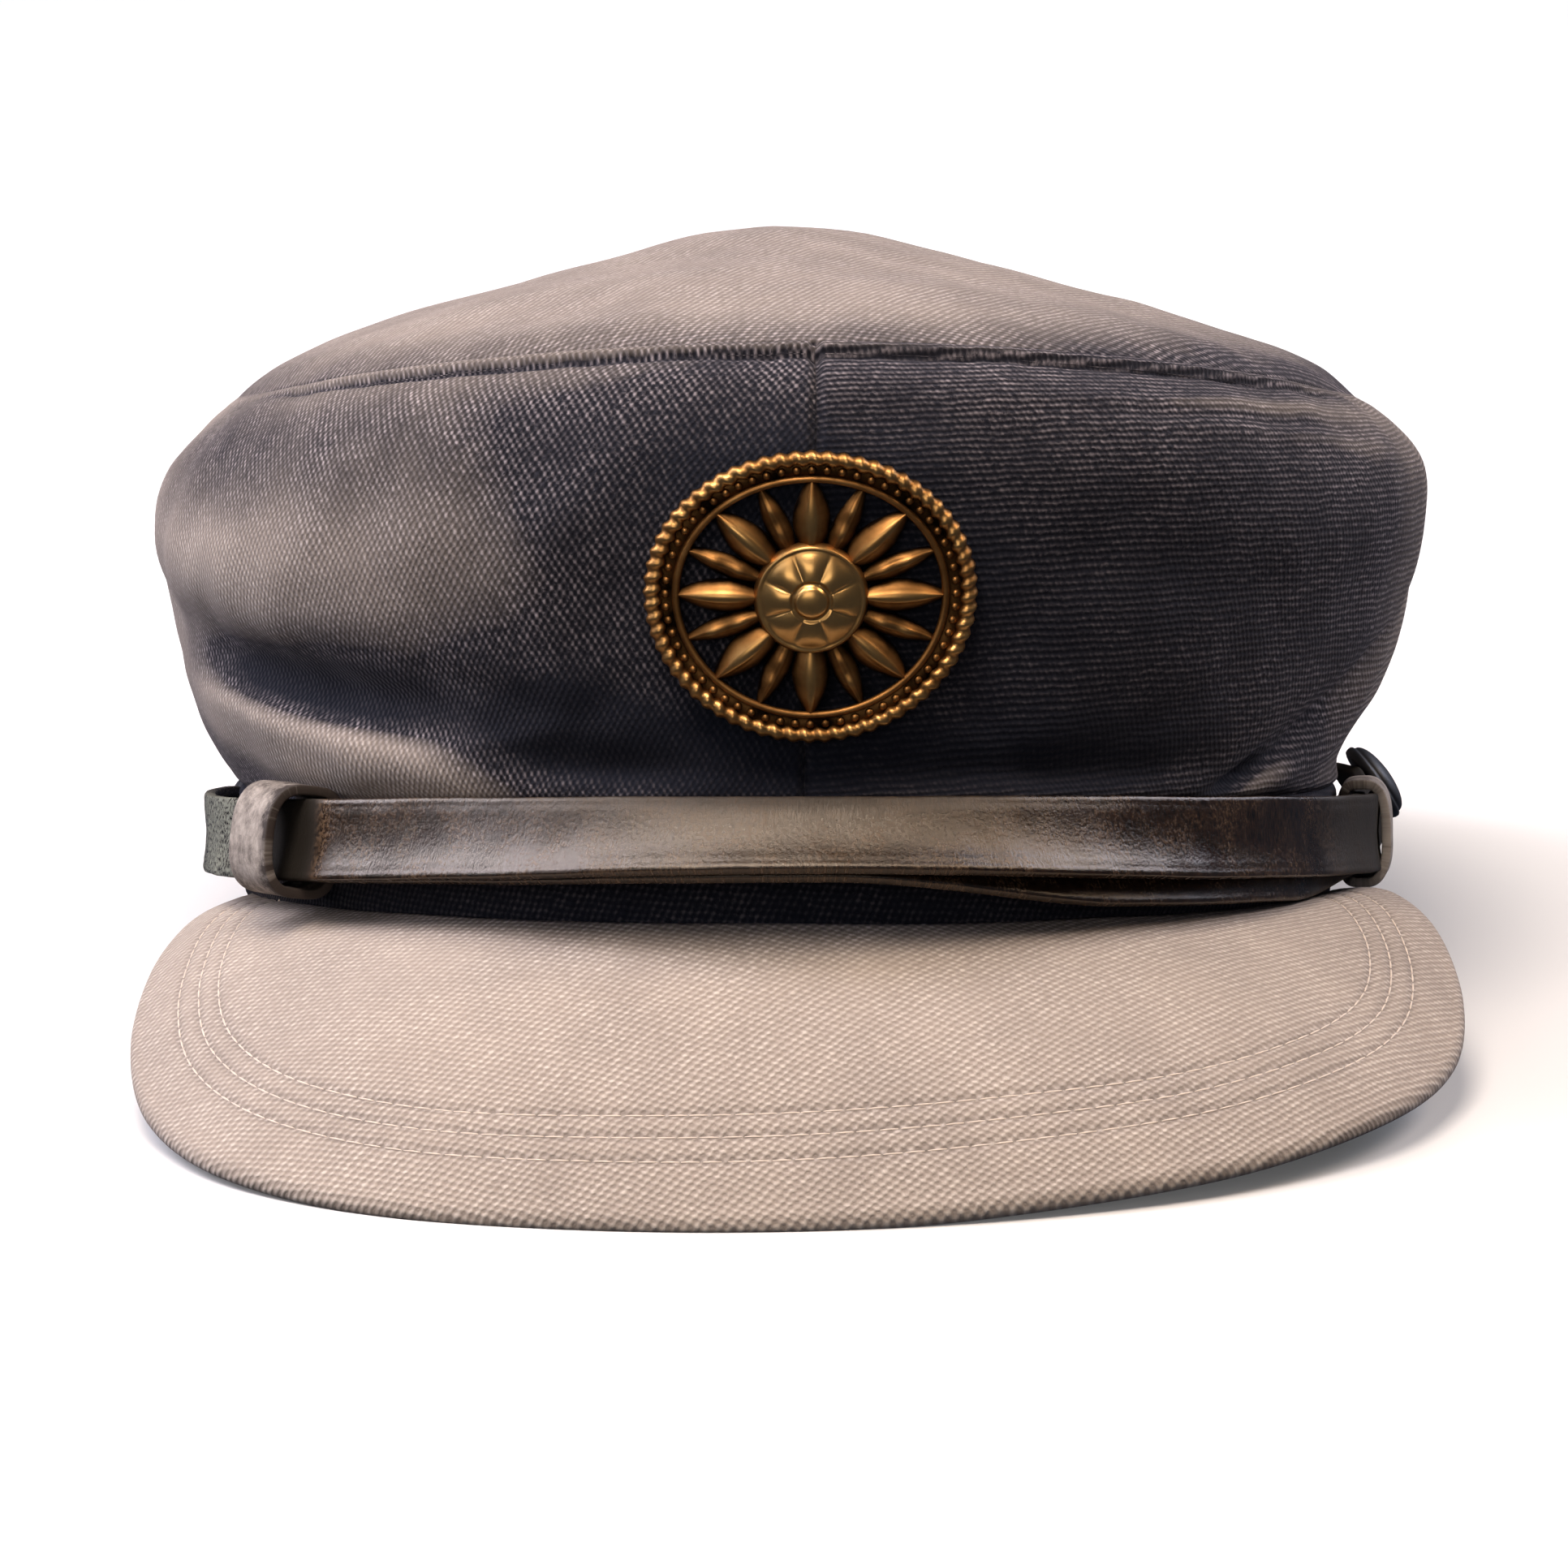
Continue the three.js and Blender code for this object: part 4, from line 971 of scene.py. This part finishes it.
class ClothSettings(bpy.types.PropertyGroup):
    """Twill of the crown, band and peak."""

    pitch: number("Ridge pitch", "Distance between the twill's ridges, in millimetres", 1.02, 0.3)
    float_length: number("Float length", "Length of one yarn float along a ridge, in millimetres",
                         0.95, 0.3)
    float_depth: number("Float depth", "How much the floats break the ridges up", 0.75)
    dark: colour("Dark yarn", "Yarn in the hollows of the weave", "#111117")
    yarn: colour("Yarn", "Yarn on the ridges", "#28272d")
    fleck: colour("Fleck", "Pale yarn where it floats over", "#948a8c")
    faded_dark: colour("Faded dark yarn", "Hollows of the weave where the sun has been", "#94877c")
    faded_yarn: colour("Faded yarn", "Ridges where the sun has been", "#ac9f93")
    faded_fleck: colour("Faded fleck", "Pale yarn where the sun has been", "#c6baad")
    # Blue-black of cloth in shadow, mixed in as painted shade
    painted_shade: colour("Shading", "Cloth of the soiled places", "#11141e")
    bloom: colour("Bloom", "Fine nap of the cloth", "#b9b2b8")
    thread: colour("Thread", "Sewing thread of the peak", "#d3c2b2")


class StrapSettings(bpy.types.PropertyGroup):
    """Leather of the chin strap and its loops, and the horn buttons."""

    emboss: number("Embossing", "Depth of the creased lines near the edges, in millimetres", 0.05)
    # The cracks' colour is also the near black of the painted shade on the strap
    deep: colour("Cracks", "Leather in the cracks", "#080504")
    dye: colour("Dye", "Dyed leather", "#2a1c13")
    wear: colour("Wear", "Leather where the dye has gone", "#5a4531")
    mould: colour("Mould", "Matt olive bloom on leather that was never rubbed", "#7e8174")
    shine: colour("Shine", "Tint of the polish", "#fff0dc")
    loop_dye: colour("Loop dye", "Dye left on the loops", "#2f241c")
    loop_bare: colour("Loop bare", "Bare suede of the loops", "#a59a8f")
    horn: colour("Horn", "Buttons", "#0c0c10")
    horn_worn: colour("Horn worn", "Scuffed horn", "#17171c")


class BadgeSettings(bpy.types.PropertyGroup):
    """Stamped brass badge."""

    half_width: number("Half width", "Half of the badge's width, in millimetres", 22.0, 10)
    half_height: number("Half height", "Half of the badge's height, in millimetres", 19.8, 10)
    rays: bpy.props.IntProperty(name="Rays", description="Number of rays, long and short", default=16,
                                min=4)
    brass: colour("Brass", "Handled brass", "#946839")
    bright: colour("Bright", "Brass rubbed bright", "#cc9f60")
    brown: colour("Brown", "Tarnish in the hollows", "#1a1009")


class StageSettings(bpy.types.PropertyGroup):
    """Floor, lights and camera."""

    floor: colour("Floor", "Floor paint", "#cfcdca")
    floor_pale: colour("Pale floor", "Floor paint where it has worn pale", "#d6d4d2")
    floor_glow: number("Floor glow", "Even light of the floor far from the cap", 0.85)
    sky: colour("Sky", "Light from all around", "#c4cfee")
    sky_light: number("Sky light", "Strength of the light from all around", 0.1)
    key: power("Key", "Power of the light above the front", 13.8)
    left: power("Left", "Power of the light on the left", 20.0)
    right: power("Right", "Power of the light on the right", 8.0)
    front: power("Front", "Power of the low light in front", 2.2)
    top: power("Top", "Power of the light overhead", 3.0)
    left_strip: power("Left strip", "Power of the strip that the strap shines in", 2.0)
    right_strip: power("Right strip", "Power of the warm strip on the right", 4.8)
    light_distance: distance("Light distance", "From the lights to the cap", 1.2)
    distance: distance("Camera distance", "From the camera to the cap", 0.9)
    lens: number("Lens", "Focal length, in millimetres", 137.5, 1)


# Operators

# Each light's name, setting, width and height in metres, bearing from the front, height and tilt in
# degrees, and colour
LIGHTS = (
    ("key_softbox", "key", 0.5, 0.5, -16, 60, 0, "#fff1e6"),
    ("left_softbox", "left", 0.35, 1.3, -98, 36, -24, "#f2f0ff"),
    ("right_softbox", "right", 0.4, 0.6, 112, 30, 0, "#e2e8ff"),
    ("top_softbox", "top", 0.45, 0.45, -70, 80, 0, "#fff4e8"),
    ("front_softbox", "front", 0.7, 0.4, -12, 16, 0, "#fff6ee"),
    ("left_strip", "left_strip", 1.6, 0.08, -52, 27, 35, "#f4f2ff"),
    ("right_strip", "right_strip", 0.35, 0.45, 76, 46, 0, "#ffe6cc"),
)
LIGHTS_AIM_UP = 0.05

# Camera: its rise over the band's plane and its bearing to the left, in degrees, and its target in
# the cap's frame
CAMERA_RAISED = 4.0
CAMERA_LEFT = 1.3
CAMERA_TARGET = (-0.49, 0, 16)

# Studio's surround, in metres
FLOOR_RADIUS = 3.0
COVE_RADIUS = 1.4
BACKDROP_TOP = 6.0


class CAP_OT_stage(bpy.types.Operator):
    """Make the floor, the lights and the camera"""

    bl_idname = "cap.stage"
    bl_label = "Stage"

    def execute(self, context):
        settings = context.scene.cap_stage
        scene = context.scene
        scene.view_settings.view_transform = "Standard"
        paint = painted_floor(settings)
        floor = [(0, 0), (FLOOR_RADIUS / 2, 0), (FLOOR_RADIUS, 0)]
        cove = [(FLOOR_RADIUS + COVE_RADIUS * math.sin(a), COVE_RADIUS - COVE_RADIUS * math.cos(a))
                for a in np.linspace(0, math.pi / 2, 12)]
        cove.append((FLOOR_RADIUS + COVE_RADIUS, BACKDROP_TOP))
        for name, profile in (("studio_floor", floor), ("studio_backdrop", cove)):
            surround = smooth_object(name, turned_mesh(profile, 64, 1e-5), paint)
            surround.visible_diffuse = False
            surround.visible_glossy = False

        for name, setting, wide, tall, bearing, height, tilt, code in LIGHTS:
            light = bpy.data.lights.new(name, "AREA")
            light.shape, light.size, light.size_y = "RECTANGLE", wide, tall
            light.energy, light.color = getattr(settings, setting), linear(code)[:3]
            lamp = bpy.data.objects.new(name, light)
            around, up = math.radians(bearing), math.radians(height)
            toward = Vector((math.sin(around) * math.cos(up), -math.cos(around) * math.cos(up), math.sin(up)))
            aim = toward.to_track_quat("Z", "Y") @ Quaternion((0, 0, 1), math.radians(tilt))
            lamp.rotation_euler = aim.to_euler()
            lamp.location = toward * settings.light_distance + Vector((0, 0, LIGHTS_AIM_UP))
            scene.collection.objects.link(lamp)

        world = bpy.data.worlds.new("studio")
        world.use_nodes = True
        world.node_tree.nodes["Background"].inputs["Color"].default_value = settings.sky
        world.node_tree.nodes["Background"].inputs["Strength"].default_value = settings.sky_light
        scene.world = world

        camera = bpy.data.objects.new("camera", bpy.data.cameras.new("camera"))
        camera.data.lens = settings.lens
        camera.data.sensor_width = 36
        camera.data.clip_start = 0.01
        scene.collection.objects.link(camera)
        raised, around = math.radians(CAMERA_RAISED), math.radians(CAMERA_LEFT)
        back = Vector((-math.sin(around) * math.cos(raised), -math.cos(around) * math.cos(raised),
                       math.sin(raised)))
        right = Vector((math.cos(around), -math.sin(around), 0))
        axes = Matrix([right, back.cross(right), back]).transposed()
        view = (TURN @ axes).to_4x4()
        view.translation = Vector(placed([CAMERA_TARGET])[0]) + TURN @ back * settings.distance
        camera.matrix_world = view
        scene.camera = camera
        return {"FINISHED"}


class CAP_OT_crown(bpy.types.Operator):
    """Make the crown's tip and side panels"""

    bl_idname = "cap.crown"
    bl_label = "Crown"

    def execute(self, context):
        settings = context.scene.cap_cloth

        def tip_place(u, v):
            return lerp(-math.pi, math.pi, u), v - 0.75 * np.sin(math.pi * v) / math.pi

        tip = grid_mesh(
            300, 64, lambda u, v: tip_surface(*tip_place(u, v)),
            lambda u, v: tuple(tip_skin(*tip_place(u, v))[:, :2].T),
            shade=lambda u, v: tip_shade(*tip_place(u, v)), weld=True)
        cloth = twill("wool_twill_tip", 62, settings)
        walled(finished("crown_tip_cloth", tip, cloth, "crown_tip"), CLOTH)
        for node, low, high, angle, floats_share in (
            ("side_panel_left", -math.pi, 0.0, -60, 1.0),
            ("side_panel_right", 0.0, math.pi, 4, 0.55),
        ):
            def place(u, v):
                return lerp(low, high, crowded(u, 0.75)), crowded(v, 0.75)

            panel = grid_mesh(
                300, 84, lambda u, v: panel_surface(*place(u, v)),
                lambda u, v: (arc(place(u, v)[0]), place(u, v)[1] * SIDE_RUN),
                shade=lambda u, v: side_shade(*place(u, v)))
            cloth = twill("wool_twill_" + node, angle, settings, floats_share)
            walled(finished(node + "_cloth", panel, cloth, node), CLOTH)
        return {"FINISHED"}


class CAP_OT_band(bpy.types.Operator):
    """Make the head band"""

    bl_idname = "cap.band"
    bl_label = "Band"

    def execute(self, context):
        def place(u, v):
            return lerp(-math.pi, math.pi, u), crowded(v, 0.6)

        band = grid_mesh(
            420, 26, lambda u, v: band_surface(*place(u, v)),
            lambda u, v: (arc(place(u, v)[0]), place(u, v)[1] * BAND_RUN),
            shade=lambda u, v: np.full_like(u, BAND_PAINTED_SHADOW), weld=True)
        cloth = twill("wool_twill_band", 62, context.scene.cap_cloth)
        walled(finished("head_band_cloth", band, cloth, "head_band"), CLOTH)
        return {"FINISHED"}


class CAP_OT_peak(bpy.types.Operator):
    """Make the peak and its rows of stitches"""

    bl_idname = "cap.peak"
    bl_label = "Peak"

    def execute(self, context):
        settings = context.scene.cap_cloth

        def weave(u, v):
            points = peak_surface(u, *peak_round(v))
            return points[..., 0], (points[..., 1] + points[..., 2]) * math.sqrt(0.5)

        peak = grid_mesh(300, PEAK_STEPS, lambda u, v: above_rest(peak_surface(u, *peak_round(v))),
                         weave, shade=peak_shade, weld=True, fill=True)
        finished("peak_cloth", peak, twill("wool_twill_peak", 42, settings), "peak")

        bm = bmesh.new()
        fine = np.linspace(0.03, 0.97, 1200)
        stitch = Matrix.Diagonal((STITCH_HALF_LENGTH * MM, STITCH_RADIUS * MM, STITCH_RADIUS * MM, 1))
        stitch = stitch @ Matrix.Rotation(math.pi / 2, 4, "Y")
        for row in STITCH_ROWS:
            inward = row / peak_run(fine)
            line, inner = (placed(peak_surface(fine, inward + more, np.ones_like(fine)))
                           for more in (0, 0.02))
            length = np.cumsum([0, *np.linalg.norm(np.diff(line, axis=0), axis=1)])
            for at in np.arange(2 * MM, length[-1] - 2 * MM, STITCH_APART * MM):
                k = min(max(int(np.searchsorted(length, at)), 3), len(fine) - 4)
                along = Vector(line[k + 3] - line[k - 3]).normalized()
                across = Vector(inner[k] - line[k])
                across = (across - along * across.dot(along)).normalized()
                out = along.cross(across)
                turn = Matrix([along, across, out]).transposed().to_4x4()
                turn.translation = Vector(line[k]) + out * 0.02 * MM
                bmesh.ops.create_uvsphere(bm, u_segments=8, v_segments=5, radius=1, matrix=turn @ stitch)
        finished("peak_stitches", bm, cotton_thread("cotton_thread", settings.thread), None)
        return {"FINISHED"}


class CAP_OT_strap(bpy.types.Operator):
    """Make the chin strap's two layers, their loops and the buttons"""

    bl_idname = "cap.strap"
    bl_label = "Chin strap"

    def execute(self, context):
        settings = context.scene.cap_strap
        leather = bridle_leather("bridle_leather", settings)
        for layer, low, high in (
            ("outer", LEFT_BUTTON - PAST_BUTTON, RIGHT_SLIDER + PAST_RIGHT_SLIDER),
            ("inner", LEFT_SLIDER - PAST_LEFT_SLIDER, RIGHT_BUTTON + PAST_BUTTON),
        ):
            def along(values):
                return lambda u, v: values(lerp(low, high, u), v)

            strap = grid_mesh(
                420, 56, along(lambda degrees, v: strap_surface(degrees, v, layer, settings.emboss)),
                along(strap_weave), shade=along(strap_wear), matt=along(never_rubbed),
                covered=along(strap_painted_shade), weld=True, fill=True)
            node = "strap_" + layer
            finished(node + "_leather", strap, leather, node)

        loop_leather = worn_loop_leather("worn_strap_leather", settings)
        for node, degrees, bare, rim in (
            ("slider_left", LEFT_SLIDER, 0.0, -0.4), ("slider_right", RIGHT_SLIDER, 0.12, 0.8),
        ):
            spare = SLIDER_SPARE_OUT[degrees]
            seat = strap_seat(degrees, "inner", (STRAP_THICK + LAYER_GAP + spare - SLIDER_SPARE_IN) / 2)
            deep = 2 * STRAP_THICK + LAYER_GAP + SLIDER_SPARE_IN + spare + 2 * SLIDER_WALL
            loop = grid_mesh(
                96, 16, lambda u, v: loop_surface(u, v, seat, deep),
                lambda u, v: (u * 40, v * SLIDER_LENGTH),
                shade=lambda u, v: bare + 0.25 * np.cos(2 * math.pi * u) + rim * ease(v, 0.75, 1),
                weld=True)
            bmesh.ops.recalc_face_normals(loop, faces=loop.faces)
            piece = walled(finished(node + "_leather", loop, loop_leather, node),
                           SLIDER_WALL)
            edge = piece.modifiers.new("edge", "BEVEL")
            edge.width, edge.segments, edge.limit_method = 0.25 * MM, 2, "ANGLE"

        horn = turned_horn("turned_horn", settings)
        dome = [(BUTTON_DOME[0] * math.cos(a), BUTTON_DOME[1] + BUTTON_DOME[2] * math.sin(a))
                for a in np.linspace(0.06, math.pi / 2, 14)]
        for node, degrees, layer in (
            ("button_left", LEFT_BUTTON, "outer"), ("button_right", RIGHT_BUTTON, "inner"),
        ):
            shank = SHANK[degrees]
            foot = [(0, -shank), (1.35, -shank), (1.5, -shank + 0.15), (1.4, -shank / 2), (1.6, 0)]
            bm = turned_mesh([*foot, *BUTTON_RIM, *dome], 48, 1e-3)
            bmesh.ops.recalc_face_normals(bm, faces=bm.faces)
            seat = strap_seat(degrees, layer, STRAP_THICK / 2 + SEAM_GAP)
            bmesh.ops.transform(bm, matrix=placing() @ seat, verts=bm.verts)
            finished(node + "_horn", bm, horn, node)
        return {"FINISHED"}


# Parts of the badge, in its own plane, before they are squeezed to its oval

def badge_ring(radius, thick, rise, strands, depth, steps):
    """A ring of round section, or roped with a number of strands."""
    ring = bmesh.new()
    bmesh.ops.create_grid(ring, x_segments=steps, y_segments=14, size=0.5)
    for vert in ring.verts:
        around, section = (2 * math.pi * (c + 0.5) for c in vert.co[:2])
        rope = thick * (1 + depth * math.cos(strands * around + section))
        r = radius + rope * math.cos(section)
        vert.co = (r * math.cos(around), r * math.sin(around), rise + 1.1 * rope * math.sin(section))
    bmesh.ops.remove_doubles(ring, verts=ring.verts, dist=1e-4)
    return ring


def badge_plate(outer, inner, thick, rise):
    """The flat band under the beads."""
    plate = bmesh.new()
    bmesh.ops.create_circle(plate, cap_ends=False, segments=120, radius=outer)
    rim = bmesh.ops.extrude_edge_only(plate, edges=plate.edges[:])
    moved = [item for item in rim["geom"] if isinstance(item, bmesh.types.BMVert)]
    bmesh.ops.scale(plate, vec=Vector((1, 1, 1)) * (inner / outer), verts=moved)
    bmesh.ops.solidify(plate, geom=plate.faces[:] + plate.edges[:] + plate.verts[:], thickness=thick)
    bmesh.ops.recalc_face_normals(plate, faces=plate.faces)
    low = min(vert.co.z for vert in plate.verts)
    bmesh.ops.translate(plate, vec=(0, 0, rise - low), verts=plate.verts)
    return plate


def badge_ray(last, is_long):
    """A ridged and fluted ray from the boss to the ring, the short ones notched."""
    wide, high = LONG_RAY if is_long else SHORT_RAY
    ray = bmesh.new()
    bmesh.ops.create_grid(ray, x_segments=26, y_segments=12, size=0.5)
    for vert in ray.verts:
        t, w = vert.co.x + 0.5, 2 * vert.co.y
        bulge = math.sin(math.pi * min(t, 1)) ** 0.8
        half = wide * bulge * (1.15 - 0.45 * t) + 0.28
        ridge = high * (1 - abs(w)) ** 0.8 * (0.35 + 0.65 * bulge)
        flute = -0.22 * math.cos(5 * math.pi * w) * (1 - abs(w)) * bulge
        if not is_long:
            ridge *= 1 - 0.28 * (1 - math.cos(6 * math.pi * t)) / 2
        vert.co = (lerp(RAY_FROM, last, t), half * w, 0.75 + ridge + flute)
    return footed(ray, 0.2)


def badge_boss():
    """A dome with eight petals, a raised middle and a collar."""
    boss = bmesh.new()
    bmesh.ops.create_grid(boss, x_segments=144, y_segments=40, size=0.5)
    for vert in boss.verts:
        around, t = 2 * math.pi * (vert.co.x + 0.5), vert.co.y + 0.5
        r = BOSS_RADIUS * (1 - t)
        petal = abs(math.cos(4 * around))
        dome = 3.3 * math.sqrt(max(1 - (r / 7.8) ** 2, 0))
        leaf = (0.55 * petal ** 0.6 - 0.3) * math.sin(math.pi * min(max((r - 2.4) / 4.4, 0), 1))
        centre = 0.7 * math.sqrt(max(1 - (r / 2.2) ** 2, 0)) + (-0.3 if abs(r - 2.5) < 0.3 else 0)
        collar = 0.5 * math.exp(-(((r - 7.1) / 0.35) ** 2))
        height = 0.5 + dome + leaf + centre + collar
        vert.co = (r * math.cos(around), r * math.sin(around), max(height, 0.3))
    bmesh.ops.remove_doubles(boss, verts=boss.verts, dist=1e-3)
    return footed(boss, 0.1)


class CAP_OT_badge(bpy.types.Operator):
    """Make the brass badge: rays between a roped and beaded ring and a petalled boss"""

    bl_idname = "cap.badge"
    bl_label = "Badge"

    def execute(self, context):
        settings = context.scene.cap_badge
        wide = settings.half_width
        squeeze = settings.half_height / wide
        oval_place = Matrix.Diagonal((1, squeeze, 1, 1))
        bm = bmesh.new()
        join(bm, badge_ring(wide - ROPE_THICK, ROPE_THICK, 1.0, ROPE_STRANDS, 0.2, 384), oval_place)
        join(bm, badge_ring(wide - 4.15, 0.55, 1.1, 0, 0, 240), oval_place)
        join(bm, badge_plate(wide - 1.0, wide - 4.2, 0.9, 0.15), oval_place)
        for k in range(BEADS):
            turn, r = 2 * math.pi * k / BEADS, wide - BEAD_IN
            at = Matrix.Translation((r * math.cos(turn), squeeze * r * math.sin(turn), 1.0))
            bmesh.ops.create_uvsphere(bm, u_segments=10, v_segments=7, radius=BEAD_RADIUS,
                                      matrix=at @ Matrix.Diagonal((1, 1, 1.1, 1)))
        for k in range(settings.rays):
            turn = Matrix.Rotation(2 * math.pi * k / settings.rays, 4, "Z")
            join(bm, badge_ray(wide - RAY_TO_RING, k % 2 == 0), oval_place @ turn)
        join(bm, badge_boss())
        shade = bm.verts.layers.float.new("shade")
        for vert in bm.verts:
            vert[shade] = min(max((vert.co.z - 0.5) / 2.6, -0.3), 0.9)
            vert.co.z -= vert.co.x ** 2 / (2 * BADGE_BEND)
        for side in (-POST_SIDE, POST_SIDE):
            post = bmesh.new()
            bmesh.ops.create_cone(post, segments=16, radius1=POST_RADIUS, radius2=POST_RADIUS,
                                  depth=POST_LENGTH, matrix=Matrix.Translation((side, 0, -4.0)))
            join(bm, post)
        front = side_skin(np.zeros(1), np.full(1, BADGE_LEVEL))[0]
        seat = Matrix.Rotation(math.pi / 2 + math.radians(BADGE_LEAN), 4, "X")
        seat.translation = (BADGE_SIDE, front[1] - BADGE_STAND_OFF, BADGE_UP)
        bmesh.ops.transform(bm, matrix=placing() @ seat, verts=bm.verts)
        brass = stamped_brass("stamped_brass", settings)
        finished("badge_brass", bm, brass, "badge")
        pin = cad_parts["badge_pin"]
        pin.data.materials.clear()
        pin.data.materials.append(brass)
        return {"FINISHED"}


class CAP_PT_panel(bpy.types.Panel):
    """Lists the cap's pieces"""

    bl_idname = "CAP_PT_panel"
    bl_label = "Cap"
    bl_space_type = "VIEW_3D"
    bl_region_type = "UI"
    bl_category = "Cap"

    def draw(self, context):
        for operator in OPERATORS:
            self.layout.operator(operator.bl_idname)
        for group in GROUPS:
            box = self.layout.box()
            for name in GROUPS[group].__annotations__:
                box.prop(getattr(context.scene, group), name)


OPERATORS = (CAP_OT_stage, CAP_OT_crown, CAP_OT_band, CAP_OT_peak, CAP_OT_strap, CAP_OT_badge)
GROUPS = {"cap_cloth": ClothSettings, "cap_strap": StrapSettings, "cap_badge": BadgeSettings,
          "cap_stage": StageSettings}


def register():
    for cls in (*GROUPS.values(), *OPERATORS, CAP_PT_panel):
        bpy.utils.register_class(cls)
    for name, group in GROUPS.items():
        setattr(bpy.types.Scene, name, bpy.props.PointerProperty(type=group))


def unregister():
    for name in GROUPS:
        delattr(bpy.types.Scene, name)
    for cls in (CAP_PT_panel, *reversed(OPERATORS), *GROUPS.values()):
        bpy.utils.unregister_class(cls)


def main():
    register()
    for operator in OPERATORS:
        getattr(bpy.ops.cap, operator.bl_idname.split(".")[1])()


if __name__ == "__main__":
    main()
